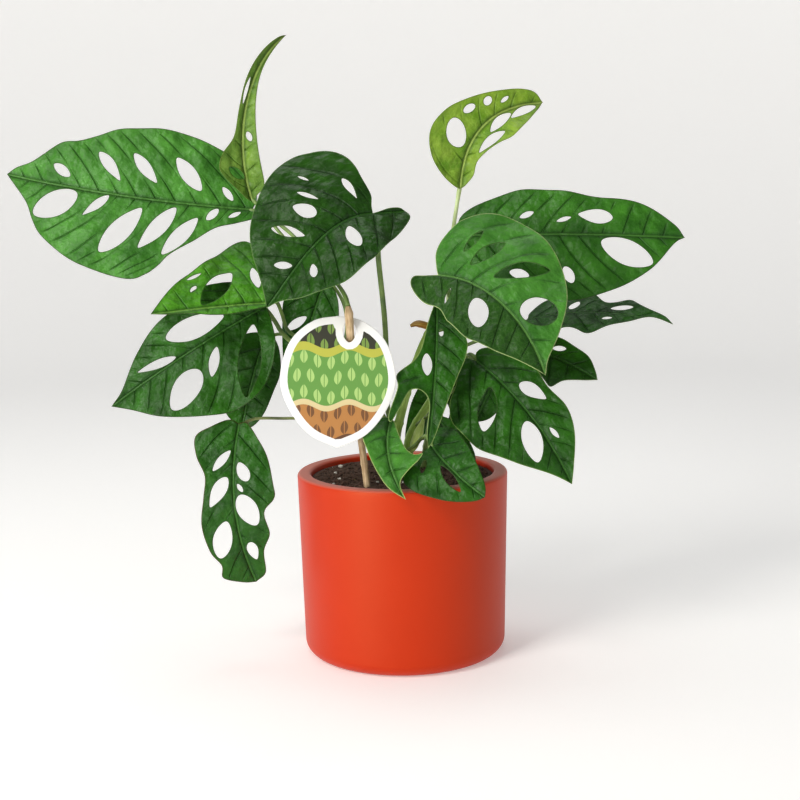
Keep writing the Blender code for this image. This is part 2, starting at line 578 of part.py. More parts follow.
def oval(along, out, length, width, turn):
    """A hole's loop: an ellipse, with fewer points where it is small."""
    count = 10 if length > LARGE_HOLE else 8 if length > SMALL_HOLE else 6
    angles = (np.arange(count) + 0.5) * 2 * math.pi / count
    x, y = length / 2 * np.cos(angles), width / 2 * np.sin(angles)
    turn = math.radians(turn)
    across = out + x * math.sin(turn) + y * math.cos(turn)
    return np.stack([along + x * math.cos(turn) - y * math.sin(turn), across], axis=1)


def inside(points, loop):
    """Whether each point lies in the loop, by counting the edges that a ray to the right crosses."""
    x, y = points[:, 0, None], points[:, 1, None]
    x1, y1 = loop.T
    x2, y2 = np.roll(loop, -1, axis=0).T
    crosses = ((y1 > y) != (y2 > y)) & (x < x1 + (y - y1) * (x2 - x1) / np.where(y2 == y1, 1e-9, y2 - y1))
    return crosses.sum(1) % 2 == 1


def distance_to(points, loop):
    """Each point's distance to the loop's nearest edge."""
    start, step = loop, np.roll(loop, -1, axis=0) - loop
    share = ((points[:, None] - start) * step).sum(2) / (step**2).sum(1)
    nearest = start + np.clip(share, 0, 1)[..., None] * step
    return np.linalg.norm(points[:, None] - nearest, axis=2).min(1)


def sheet(name, outline, holes, field, place, thickness):
    """A closed thin solid: the outline less its holes, with like triangles on both faces, bent by place."""
    loops = [outline, *holes]
    flat = list(np.vstack(loops))
    edges, first = [], 0
    for loop in loops:
        edges += [(first + k, first + (k + 1) % len(loop)) for k in range(len(loop))]
        first += len(loop)
    keep = inside(field, outline) & (distance_to(field, outline) > CLEAR_OF_EDGE)
    for hole in holes:
        keep &= ~inside(field, hole) & (distance_to(field, hole) > CLEAR_OF_EDGE)
    flat += list(field[keep])
    points, _, triangles, *_ = delaunay_2d_cdt([Vector(point) for point in flat], edges, [], 1, 1e-5)
    points = np.array([tuple(point) for point in points])
    triangles = np.array(triangles)
    middles = points[triangles].mean(axis=1)
    solid = inside(middles, outline)
    for hole in holes:
        solid &= ~inside(middles, hole)
    triangles = triangles[solid]
    count = len(points)
    sides = {}
    for triangle in triangles.tolist():
        for a, b in zip(triangle, triangle[1:] + triangle[:1]):
            if (b, a) in sides:
                del sides[(b, a)]
            else:
                sides[(a, b)] = True
    faces = [tuple(triangle) for triangle in triangles.tolist()]
    faces += [(a + count, c + count, b + count) for a, b, c in triangles.tolist()]
    for a, b in sides:
        faces += [(a, a + count, b), (b, a + count, b + count)]
    above = place(points[:, 0], points[:, 1], thickness / 2)
    below = place(points[:, 0], points[:, 1], -thickness / 2)
    used = sorted({corner for face in faces for corner in face})
    order = {old: new for new, old in enumerate(used)}
    every = np.vstack([above, below])[used]
    return mesh_from(name, every, [tuple(order[corner] for corner in face) for face in faces])


def field_of(leaf):
    """Points inside a blade: along its midrib, and in staggered rows beside it."""
    length = length_of(leaf)
    places = [(x, 0.0) for x in rib_stations(length)]
    for row in range(1, FIELD_ROWS + 1):
        shift = 0.5 * FIELD_STEP * (row % 2)
        for x in np.arange(-2 * FIELD_STEP + shift, length, FIELD_STEP):
            places += [(x, row * ROW_STEP), (x, -row * ROW_STEP)]
    return np.array(places)


def rib_stations(length):
    """Where the midrib has its rings, which are also points of the blade."""
    return np.linspace(MIDRIB_FROM, MIDRIB_REACH * length, MIDRIB_STEPS + 1)


def make_leaf(name, leaf):
    """A blade fused with its stalk, which runs on under it as the midrib and thins out towards the tip."""
    holes = [oval(*hole) for hole in leaf["holes"]]

    def bent(along, out, lift):
        return on_blade(leaf, along, out, lift)

    blade_mesh = sheet(name, margin_of(leaf), holes, field_of(leaf), bent, BLADE)
    finish = "young leaf" if "young" in name else "leaf"
    blade = add_object(name, blade_mesh, finish)

    stations = rib_stations(length_of(leaf))
    radii = np.linspace(MIDRIB_START, MIDRIB_END, len(stations))
    depths = MIDRIB_BURIED - radii
    sunk = np.array([on_blade(leaf, at, 0.0, depth)[0] for at, depth in zip(stations, depths)])
    seat = seat_on(*leaf["seat"], leaf["stalk"][0])
    stalk = through([*seat, *leaf["stalk"], sunk[0]], STALK_STEP, ends=False)
    path = np.vstack([stalk, sunk])
    radii = np.concatenate([np.full(len(stalk), leaf["radius"]), radii])
    stem = add_object("stalk", tube("stalk", path, radii, STALK_SIDES), finish)
    apply_boolean(blade, stem, "UNION")


def make_label():
    """A thin rounded plate with a slot near its top, through which the woody vine passes."""
    right = through([(along, -out) for along, out in LABEL_SIDE], LABEL_STEP, ends=False)
    left = through(LABEL_SIDE, LABEL_STEP)[:0:-1]
    slot = oval(SLOT_DROP, SLOT_ASIDE, SLOT_HEIGHT, SLOT_WIDTH, 0)
    top = np.array(LABEL_TOP)
    down = unit(LABEL_DOWN)
    face = unit(np.array(LABEL_FACE) - np.dot(LABEL_FACE, down) * down)
    across = np.cross(face, down)

    def flat(along, out, lift):
        return top + np.outer(along, down) + np.outer(out, across) + lift * face

    middle = np.array([[LABEL_SIDE[-1][0] / 2, 0.0]])
    plate = sheet("label", np.vstack([right, left]), [slot], middle, flat, LABEL_THICK)
    add_object("label", plate, "label")


for old in list(bpy.data.objects):
    bpy.data.objects.remove(old)
make_pot()
make_soil()
make_vines()
for leaf_name, leaf_sizes in LEAVES.items():
    make_leaf(leaf_name, leaf_sizes)
make_label()
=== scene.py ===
"""A Swiss cheese vine in a red clay pot: the surface and finish of every piece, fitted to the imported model.

The sections follow the plant as it is potted: pot, soil, vines, sheaths, leaves and label. Sizes are in
millimetres.
"""

import math

import bpy
import numpy as np
from mathutils import Matrix
from mathutils.geometry import delaunay_2d_cdt


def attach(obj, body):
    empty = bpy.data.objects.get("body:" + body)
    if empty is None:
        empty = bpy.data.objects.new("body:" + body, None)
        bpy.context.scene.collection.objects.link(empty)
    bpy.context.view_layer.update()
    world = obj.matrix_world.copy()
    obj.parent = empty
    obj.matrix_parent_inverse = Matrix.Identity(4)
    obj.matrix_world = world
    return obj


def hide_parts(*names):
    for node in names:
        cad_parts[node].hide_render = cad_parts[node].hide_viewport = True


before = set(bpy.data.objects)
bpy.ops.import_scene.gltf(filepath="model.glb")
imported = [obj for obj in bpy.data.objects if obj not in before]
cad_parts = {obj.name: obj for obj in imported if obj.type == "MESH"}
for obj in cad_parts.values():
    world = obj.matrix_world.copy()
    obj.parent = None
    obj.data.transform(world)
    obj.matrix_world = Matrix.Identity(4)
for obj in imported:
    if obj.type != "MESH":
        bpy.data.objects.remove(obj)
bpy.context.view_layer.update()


# The pot: a straight cup of red earthenware, cast with a thick wall and sponged round at the foot and rim.
# It is sprayed with a matt vermilion slip, which leaves a faint grain, and the rim is a little dusty.
POT_HEIGHT = 122.0
RIM_RADIUS = 70.0
FOOT_RADIUS = 67.5
WALL = 9.2
FLOOR = 10.0
FOOT_ROUND = 9.0
RIM_ROUND = 2.2
POT_SIDES = 160
WALL_RINGS = 40
FOOT_STEPS, RIM_STEPS, INNER_STEPS = 12, 7, 8
FLAT_RINGS = (20.0, 40.0)
CENTRE_DISC = 0.5
SLIP_CLOUD, SLIP_GRAIN = 71.43, 0.7143
MM = 0.001


def linear(hex_colour):
    """An sRGB hex colour as linear red, green, blue and alpha."""
    parts = np.array([int(hex_colour[k : k + 2], 16) for k in (1, 3, 5)]) / 255
    parts = np.where(parts <= 0.04045, parts / 12.92, ((parts + 0.055) / 1.055) ** 2.4)
    return (*parts.tolist(), 1.0)


def add(tree, kind, inputs=None, output=None, **settings):
    """Adds one node with its settings, sets or links its inputs, and returns an output socket."""
    node = tree.nodes.new("ShaderNode" + kind)
    for name, value in settings.items():
        setattr(node, name, value)
    for name, value in (inputs or {}).items():
        if isinstance(name, int):
            socket = node.inputs[name]
        else:
            socket = next(found for found in node.inputs if found.enabled and found.name == name)
        if isinstance(value, bpy.types.NodeSocket):
            tree.links.new(value, socket)
        else:
            socket.default_value = value
    if output:
        return node.outputs[output]
    return next(found for found in node.outputs if found.enabled)


def new_material(name):
    """An empty node material and its tree."""
    made = bpy.data.materials.new(name)
    made.use_nodes = True
    made.node_tree.nodes.clear()
    return made, made.node_tree


def finished(made, surface):
    """Links the surface shader to the material's output, and returns the material."""
    out = made.node_tree.nodes.new("ShaderNodeOutputMaterial")
    made.node_tree.links.new(surface, out.inputs["Surface"])
    return made


def arc(centre, radius, start, end, steps):
    """Points on an arc: the centre plus the radius times the cosine and sine of each angle."""
    turns = np.radians(np.linspace(start, end, steps + 1))
    return np.stack([centre[0] + radius * np.cos(turns), centre[1] + radius * np.sin(turns)], axis=1)


def turned(profile, sides):
    """A profile turned about Z: each point is radius times the turn's cosine and sine, and the height."""
    turns = np.arange(sides) * 2 * np.pi / sides
    radius, height = profile[:, :1], profile[:, 1:]
    return np.stack([radius * np.cos(turns), radius * np.sin(turns), height + 0 * turns], axis=-1)


def build_mesh(name, points, faces, caps=(), **attributes):
    """A smooth mesh of points in millimetres, with float or vector attributes on its points."""
    mesh = bpy.data.meshes.new(name)
    mesh.from_pydata((np.asarray(points).reshape(-1, 3) * MM).tolist(), [], [*faces.tolist(), *caps])
    for label, values in attributes.items():
        values = np.asarray(values, np.float32)
        kind, field = ("FLOAT_VECTOR", "vector") if values.ndim == 2 else ("FLOAT", "value")
        mesh.attributes.new(label, kind, "POINT").data.foreach_set(field, values.ravel())
    mesh.shade_smooth()
    return mesh


def ring_mesh(name, points, capped=2, **attributes):
    """Rings of points joined by four-cornered faces, with a flat cap on both ends or on the last one."""
    rows, columns = points.shape[:2]
    row, column = np.arange(rows - 1)[:, None] * columns, np.arange(columns)[None]
    beside = (column + 1) % columns
    corners = [row + column, row + beside, row + columns + beside, row + columns + column]
    faces = np.stack(corners, axis=-1).reshape(-1, 4)
    caps = [list(range(columns))[::-1], list(range((rows - 1) * columns, rows * columns))]
    return build_mesh(name, points, faces, caps[-capped:], **attributes)


def show(mesh, finish, slot, *nodes):
    """Puts a piece in the scene with its material, riding on the plant and standing for its nodes."""
    mesh.materials.append(finish)
    piece = bpy.data.objects.new(mesh.name, mesh)
    bpy.context.scene.collection.objects.link(piece)
    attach(piece, "root")
    if nodes:
        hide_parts(*nodes)


def pot_surface():
    """A turned profile: underside, foot's round, straight wall, rim's two rounds, inner wall and floor."""
    rim = POT_HEIGHT - RIM_ROUND
    inner_foot = FOOT_RADIUS - WALL
    profile = np.vstack([
        [(radius, 0.0) for radius in (CENTRE_DISC, *FLAT_RINGS)],
        arc((FOOT_RADIUS - FOOT_ROUND, FOOT_ROUND), FOOT_ROUND, -90, 0, FOOT_STEPS),
        np.linspace((FOOT_RADIUS, FOOT_ROUND), (RIM_RADIUS, rim), WALL_RINGS)[1:-1],
        arc((RIM_RADIUS - RIM_ROUND, rim), RIM_ROUND, 0, 90, RIM_STEPS),
        arc((RIM_RADIUS - WALL + RIM_ROUND, rim), RIM_ROUND, 90, 180, RIM_STEPS),
        arc((inner_foot - FOOT_ROUND, FLOOR + FOOT_ROUND), FOOT_ROUND, 0, -90, INNER_STEPS),
        [(FLAT_RINGS[0], FLOOR), (CENTRE_DISC, FLOOR)],
    ])
    return ring_mesh("pot_body", turned(profile, POT_SIDES))


def matt_slip():
    """Sprayed earthenware slip: matt, with a grain of 0.7 mm, faint clouds of 70 mm, and dust on top."""
    made, tree = new_material("matt vermilion slip")
    place = add(tree, "TexCoord", output="Object")
    cloud = add(tree, "TexNoise", {"Vector": place, "Scale": 1 / (SLIP_CLOUD * MM), "Detail": 3.0})
    grain = add(tree, "TexNoise", {"Vector": place, "Scale": 1 / (SLIP_GRAIN * MM), "Detail": 2.0})
    facing = add(tree, "NewGeometry", output="Normal")
    upward = add(tree, "SeparateXYZ", {"Vector": facing}, output="Z")
    dust = add(tree, "MapRange", {"Value": upward, "From Min": 0.35, "From Max": 1.0, "To Max": 0.7})
    body = linear("#B02206")
    for factor, hex_colour in ((cloud, "#BA2807"), (dust, "#C27A6C")):
        body = add(tree, "Mix", {"Factor": factor, "A": body, "B": linear(hex_colour)}, data_type="RGBA")
    relief = add(tree, "Bump", {"Height": grain, "Strength": 0.25, "Distance": 0.0002})
    surface = add(tree, "BsdfPrincipled", {
        "Base Color": body, "Normal": relief, "Roughness": 0.46, "IOR": 1.45,
        "Specular IOR Level": 0.48, "Specular Tint": linear("#FFE6A4"),
    })
    return finished(made, surface)


show(pot_surface(), matt_slip(), "pot_clay", "pot")


# The soil: a damp mix of peat and fine bark, pressed in by hand to just under the rim.
# Loose crumbs and white grains of perlite lie on it.
SOIL_TOP = 118.0
SOIL_SHOULDER = 112.0
SOIL_BASE = 12.0
SOIL_RADIUS = 60.3
SOIL_BASE_RADIUS = 57.8
SOIL_SIDES = 150
SOIL_RINGS = 60
SOIL_LUMPS = 0.9
LUMP_LENGTHS = (30.0, 33.0, 17.0)
LUMP_SHIFT, SLANTING_LUMPS = 1.0, 0.5
SOIL_CLODS = 0.35
CLOD_WAVES = ((1.9, 0.7), (-0.9, 1.6))
SOIL_DIPS = 0.3
DIP_WAVES = (0.8, 0.9)
LEVEL_EDGE = 8.0
CRUMBS = 3000
PERLITE = 50
ON_ONE_EDGE = 1.1
LEAST_STRETCH, STRETCH_RANGE = 0.6, 0.8
LEAST_BUMP, BUMP_RANGE = 0.8, 0.4
STANDS_OUT = 0.15
GRAIN_SEED = 12
PEAT_GRAIN, PERLITE_PIT = 2.0, 0.4545
random = np.random.default_rng(GRAIN_SEED)


def soil_height(x, y):
    """The soil's top: long and short lumps as sines and products of sines, which fade out at the wall."""
    across, back, aslant = (2 * np.pi / length for length in LUMP_LENGTHS)
    lump = np.sin(across * x + LUMP_SHIFT) * np.cos(back * y) + SLANTING_LUMPS * np.sin(aslant * (x - y))
    clods, others = (np.sin(a * x + b * y) for a, b in CLOD_WAVES)
    short = SOIL_CLODS * clods * others + SOIL_DIPS * np.sin(DIP_WAVES[0] * x) * np.sin(DIP_WAVES[1] * y)
    inward = np.clip((SOIL_RADIUS - np.hypot(x, y)) / LEVEL_EDGE, 0, 1)
    return SOIL_TOP + SOIL_LUMPS * lump * inward + short * inward


def soil_surface():
    """A turned plug whose top follows soil_height, on a grid of radius and turn."""
    radii = np.array([SOIL_BASE_RADIUS, SOIL_RADIUS, *np.linspace(SOIL_RADIUS, CENTRE_DISC, SOIL_RINGS)])
    points = turned(np.stack([radii, 0 * radii], axis=1), SOIL_SIDES)
    points[..., 2] = soil_height(points[..., 0], points[..., 1])
    points[0, :, 2], points[1, :, 2] = SOIL_BASE, SOIL_SHOULDER
    return ring_mesh("soil_bed", points)


def scattered(name, count, low, high, flat):
    """Copies of a twelve-cornered grain, each stretched, turned and half sunk in the soil at random.

    The grain's corners are those of three golden rectangles, and its faces join corners one edge apart. The
    distance of each from the pot's axis is the root of a random share, so that they lie evenly.
    """
    golden = (1 + 5**0.5) / 2
    corners = np.array([(x, y * golden, 0) for x in (-1, 1) for y in (-1, 1)])
    corners = np.vstack([corners, corners[:, [2, 0, 1]], corners[:, [1, 2, 0]]]) / math.hypot(1, golden)
    number = len(corners)
    near = np.linalg.norm(corners[:, None] - corners[None], axis=2) < ON_ONE_EDGE
    i, j, k = np.meshgrid(*[np.arange(number)] * 3, indexing="ij")
    side = near[i, j] & near[j, k] & near[i, k] & (i < j) & (j < k)
    faces = np.stack([i[side], j[side], k[side]], axis=1)
    a, b, c = (corners[faces[:, n]] for n in range(3))
    inwards = ((np.cross(b - a, c - a) * a).sum(1) < 0)[:, None]
    faces = np.where(inwards, faces[:, ::-1], faces)
    radius = (SOIL_RADIUS - high) * np.sqrt(random.random(count))
    turn = 2 * np.pi * random.random(count)
    x, y = radius * np.cos(turn), radius * np.sin(turn)
    size = low + (high - low) * random.random(count) ** 2
    stretch = LEAST_STRETCH + STRETCH_RANGE * random.random((count, 1, 3))
    bumps = LEAST_BUMP + BUMP_RANGE * random.random((count, number, 1))
    frames = np.linalg.qr(random.normal(size=(count, 3, 3)))[0]
    frames = frames * np.sign(np.linalg.det(frames))[:, None, None]
    grains = np.einsum("nij,nkj->nki", frames, corners * bumps * stretch) * size[:, None, None] / 2
    grains[..., 2] *= flat
    grains = grains + np.stack([x, y, soil_height(x, y) + STANDS_OUT * size], axis=1)[:, None]
    every = (faces[None] + number * np.arange(count)[:, None, None]).reshape(-1, 3)
    mesh = build_mesh(name, grains, every)
    mesh.shade_flat()
    return mesh


def loose_matter(name, kind, pattern, low, high, strength, depth, roughness):
    """Dull loose matter: one fine pattern gives it both its two tones and its relief."""
    made, tree = new_material(name)
    place = add(tree, "TexCoord", output="Object")
    grain = add(tree, kind, {"Vector": place, **pattern})
    colour = add(tree, "Mix", {"Factor": grain, "A": linear(low), "B": linear(high)}, data_type="RGBA")
    relief = add(tree, "Bump", {"Height": grain, "Strength": strength, "Distance": depth})
    surface = {"Base Color": colour, "Normal": relief, "Roughness": roughness}
    return finished(made, add(tree, "BsdfPrincipled", surface))


# Damp peat and bark are nearly black brown and rough, with a grain of 2 mm and finer.
# Perlite is expanded volcanic glass, chalk white and dull, with pits of half a millimetre.
noise, cells = {"Scale": 1 / (PEAT_GRAIN * MM), "Detail": 5.0}, {"Scale": 1 / (PERLITE_PIT * MM)}
peat = loose_matter(
    "damp peat", "TexNoise", noise, "#1A100A", "#5E4232", strength=0.8, depth=0.001, roughness=0.9)
perlite = loose_matter(
    "perlite", "TexVoronoi", cells, "#8F8A80", "#E8E5DC", strength=0.6, depth=0.0003, roughness=0.85)
show(soil_surface(), peat, "potting_soil", "soil")
show(scattered("soil_crumbs", CRUMBS, low=0.7, high=3.0, flat=0.7), peat, "potting_soil")
show(scattered("soil_perlite", PERLITE, low=0.8, high=2.8, flat=0.9), perlite, "potting_soil")


# The vines: five climbing stems rooted in the soil, the oldest tan and woody and the others still green.
# Each has a raised ring at every node, where a leaf stood.
TUBE_SIDES = 14
TUBE_STEP = 1.6
STREAK_RADIUS = 3.0
STREAK_LENGTH, STREAK_WIDTH = 12.5, 1.111
BLOTCH = 11.11
NODE_SPACING = 21.0
NODE_SWELL = 0.16
NODE_WIDTH = 1.3
TIP_RUN = 8.0
TIP_LOSS = 0.4
FOOT_IN_SOIL = 112.0
VINES = {
    "vine_woody": dict(
        points=[(-23, -36, 108), (-23, -36, 114), (-23, -36, 120), (-25, -35, 139), (-28, -33, 166),
                (-30, -34, 194), (-31, -39, 209), (-31, -48, 219.5), (-31, -54, 228), (-31.5, -55, 236)],
        radius=(2.3, 2.9), skin=("#94764E", "#D9BE96"),
    ),
    "vine_centre": dict(
        points=[(-3, 0, 108), (-3, 0, 114), (-3, 0, 120), (-4, -2, 142), (2, -5, 168), (9, -8, 191),
                (15, -10, 207), (23, -10, 222)],
        radius=(3.6, 2.5), skin=("#7FA43C", "#AECF66"),
    ),
    "vine_right": dict(
        points=[(6, 8, 108), (6, 8, 114), (6, 8, 120), (5, 7, 141), (19, 5, 166), (30, 2, 182),
                (35, -1, 190)],
        radius=(3.6, 2.7), skin=("#7FA43C", "#AECF66"),
    ),
    "vine_back_left": dict(
        points=[(-5, 21, 108), (-5, 21, 114), (-5, 21, 120), (-9, 17, 146), (-20, 12, 168),
                (-33, 8, 187), (-44, 6, 204), (-49, 6, 212)],
        radius=(3, 2.1), skin=("#5F7A3C", "#8CA25A"),
    ),
    "vine_back_right": dict(
        points=[(15, 24, 108), (15, 24, 114), (15, 24, 120), (20, 22, 150), (25, 20, 175),
                (29, 20, 198), (32, 20, 212)],
        radius=(3, 2.2), skin=("#5F7A3C", "#8CA25A"),
    ),
}


def unit(vectors):
    """Each vector divided by its length."""
    vectors = np.asarray(vectors, float)
    return vectors / np.linalg.norm(vectors, axis=-1, keepdims=True)


def smooth_line(points, step):
    """Points every step or so on the Catmull-Rom curve: each stretch is a cubic of four points in a row."""
    given = np.asarray(points, float)
    given = np.vstack([2 * given[0] - given[1], given, 2 * given[-1] - given[-2]])
    counts = np.linalg.norm(np.diff(given[1:-1], axis=0), axis=1) / step
    counts = np.maximum(1, np.round(counts)).astype(int)
    stretch = np.repeat(np.arange(len(counts)), counts)
    share = np.arange(counts.sum()) - np.repeat(np.cumsum(counts) - counts, counts)
    share = (share / counts[stretch])[:, None]
    before, start, end, after = (given[stretch + k] for k in range(4))
    line = 0.5 * (
        2 * start + (end - before) * share + (2 * before - 5 * start + 4 * end - after) * share**2
        + (3 * start - before - 3 * end + after) * share**3
    )
    return np.vstack([line, given[-2]])


def distances(line):
    """How far along the line each of its points lies."""
    return np.concatenate([[0], np.cumsum(np.linalg.norm(np.diff(line, axis=0), axis=1))])


def tube(name, line, radii, flat=1.0):
    """Rings round a path: centre plus radius times the turn's cosine and sine, in two cross directions.

    The first lies square to the path and to the one of five fixed directions that the path keeps clearest
    of, and may be flattened. The streaks lie on a tube of one radius, so they keep their width.
    """
    ahead = unit(np.gradient(line, axis=0))
    choices = np.array([(1.0, 0, 0), (0, 1.0, 0), (0, 0, 1.0), (0.6, 0.6, 0.5), (-0.6, 0.6, 0.5)])
    square = np.linalg.norm(np.cross(ahead[None], choices[:, None]), axis=2).min(axis=1)
    across = unit(np.cross(ahead, choices[square.argmax()]))[:, None]
    other = np.cross(ahead, across[:, 0])[:, None]
    turns = (np.arange(TUBE_SIDES) * 2 * np.pi / TUBE_SIDES)[None, :, None]
    radii = np.asarray(radii, float)[:, None, None]
    points = line[:, None] + radii * (flat * np.cos(turns) * across + np.sin(turns) * other)
    along = np.broadcast_to(distances(line)[:, None, None], (len(line), TUBE_SIDES, 1))
    angle = np.broadcast_to(turns, along.shape)
    lie = np.concatenate([along, STREAK_RADIUS * np.cos(angle), STREAK_RADIUS * np.sin(angle)], axis=-1)
    return ring_mesh(name, points, lie=lie.reshape(-1, 3))


def stem_skin(name, deep, pale, bark=0.0):
    """Waxy stem skin: blotches of 11 mm, and streaks about 1 mm wide and 12 mm long that run along it.

    Bark is rougher, in deeper relief.
    """
    made, tree = new_material(name)
    lie = add(tree, "Attribute", attribute_name="lie", output="Vector")
    per_streak = (1 / STREAK_LENGTH, 1 / STREAK_WIDTH, 1 / STREAK_WIDTH)
    streak_place = add(tree, "Mapping", {"Vector": lie, "Scale": per_streak})
    streak = add(tree, "TexNoise", {"Vector": streak_place, "Scale": 1.0, "Detail": 4.0})
    blotch_place = add(tree, "TexCoord", output="Object")
    blotch = add(tree, "TexNoise", {"Vector": blotch_place, "Scale": 1 / (BLOTCH * MM), "Detail": 2.0})
    mixed = add(tree, "Math", {0: streak, 1: blotch}, operation="ADD")
    share = add(tree, "MapRange", {"Value": mixed, "From Min": 0.75, "From Max": 1.25})
    colour = add(tree, "Mix", {"Factor": share, "A": linear(deep), "B": linear(pale)}, data_type="RGBA")
    relief = add(tree, "Bump", {"Height": mixed, "Strength": 0.3 + bark, "Distance": 0.0005})
    surface = {"Base Color": colour, "Normal": relief, "Roughness": 0.45 + 0.25 * bark}
    return finished(made, add(tree, "BsdfPrincipled", surface))


def grow_vine(name, points, radius, skin):
    """A stem along its smooth line, swollen at each node by a narrow bell of the distance less a half.

    It narrows evenly, and by the square of the distance over its last stretch, where its last leaf goes on.
    """
    line = smooth_line(points, TUBE_STEP)
    line = line[line[:, 2] > FOOT_IN_SOIL]
    along = distances(line)
    to_node = along - NODE_SPACING * np.round(along / NODE_SPACING)
    swell = 1 + NODE_SWELL * (np.exp(-((to_node / NODE_WIDTH) ** 2)) - 0.5)
    ending = np.clip(1 - (along[-1] - along) / TIP_RUN, 0, 1)
    radii = np.linspace(*radius, len(line)) * swell * (1 - TIP_LOSS * ending**2)
    woody = name == "vine_woody"
    finish = stem_skin(name + " skin", *skin, bark=float(woody))
    show(tube(name + "_stem", line, radii), finish, "woody_vine" if woody else "green_vine", name)


for vine_name, vine in VINES.items():
    grow_vine(vine_name, **vine)


# The sheaths: thin bracts that wrapped each new leaf and still cling to the stems beside its stalk.
# The upper one is withered and brown, the lower ones are pale and still fresh.
SHEATH_FLAT = 0.6
SHEATHS = {
    "sheath_withered": dict(
        points=[(23, -13, 216), (17, -15.5, 219.5), (11, -17, 221), (7, -17.5, 219.5)],
        radii=(2.8, 4.0, 4.0, 1.6), skin=("#8A5A1C", "#A8923C"),
    ),
    "sheath_front": dict(
        points=[(-3, -3, 131), (-6, -14, 138), (-9, -25, 148), (-11, -31, 159)],
        radii=(1.2, 3.8, 4.6, 0.8), skin=("#B0C860", "#DCEC9C"),
    ),
    "sheath_middle": dict(
        points=[(6, 4, 133), (8, -3, 139), (11, -7, 147), (15, -8, 158)],
        radii=(1.2, 3.4, 3.8, 0.8), skin=("#A4C054", "#D0E48A"),
    ),
}


def grow_sheath(name, points, radii, skin):
    """A flattened tube whose half width runs through the given radii."""
    line = smooth_line(points, TUBE_STEP)
    widths = np.interp(np.linspace(0, 1, len(line)), np.linspace(0, 1, len(radii)), radii)
    show(tube(name, line, widths, SHEATH_FLAT), stem_skin(name + " skin", *skin), "green_vine")


for sheath_name, sheath in SHEATHS.items():
    grow_sheath(sheath_name, **sheath)


# The leaves: each is one blade on its own stalk, which runs on under the blade as the midrib.
# The blade is thin, leathery and quilted between its sunken side veins, with oval holes between them.
BLADE = 0.56
EDGE_SHARE = 0.45
CURL_RUN = 10.0
LEAST_CURL = 1e-7
RIPPLE_LENGTH = 31.0
RIPPLE_REACH = 20.0
RIPPLE_MOST = 1.5
RIPPLE_SHIFT = 1.3
NOTCH = (-1.5, 0.0)
MARGIN_STEP = 1.6
BLADE_STEP = 1.5
ROW_STEP = 0.87
EDGE_RINGS = (0.5, 1.3)
RING_CLEAR = 0.6
SAME_POINT, LEVEL_EDGE_RISE = 1e-5, 1e-9
TRIANGLES_INSIDE = 1
HOLE_SIDES = 14
HOLE_SIDES_PER_MM = 1.6
HOLE_DRAWN = 0.2
HOLE_POINT = 0.4
SIDE_VEINS = 13.5
VEIN_START, VEIN_BEND = 0.7, 80.0
USUAL_SLANT = 0.7
SLANT_LEAST, SLANT_MOST = 0.15, 1.3
FLATTEST = 0.3
USUAL_HOLE, USUAL_TURN = (30, 20, 10, 5), 30
GUIDING_HOLE = 4
HOLE_WEIGHT = 2
ROUNDISH, LONG_HOLE = 1.2, 25
VEINS_BEFORE, VEINS_AFTER = 8, 15
QUILT = 1.0
QUILT_ROUND, QUILT_SINK = 0.7, 0.6
QUILT_FROM_EDGE, QUILT_FROM_RIB = 6.0, 5.0
RIB_GROOVE = 0.7
GROOVE_HALF, GROOVE_END = 1.8, 2.0
BUCKLE = 0.7
BUCKLE_LENGTHS = (5.3, 9.0, 6.1, 13.0)
BUCKLE_SHIFT = 2.0
BUCKLE_FROM_RIB = 7.0
LIP = 0.35
LIP_WIDTH = 1.2
LIP_END = 4.0
MIDRIB_FROM = 1.0
MIDRIB_REACH = 0.93
MIDRIB_RINGS = 30
MIDRIB_START = 1.1
MIDRIB_END = 0.25
MIDRIB_SUNK = 0.8
KNEE_SWELL, KNEE_AT = 0.18, 5.0
SOCKET_SWELL, SOCKET_LENGTH = 0.25, 6.0
PUCKER, NET_CELL = 6.25, 3.0303
MOTTLE, LEAF_CLOUD = 16.667, 45.455
VEIN_SHADE = "#12300E"
HALF_SHADE = "#163008"
HOLE_LINE = "#2A3F16"
UNDER_VEIN = "#9DAE78"


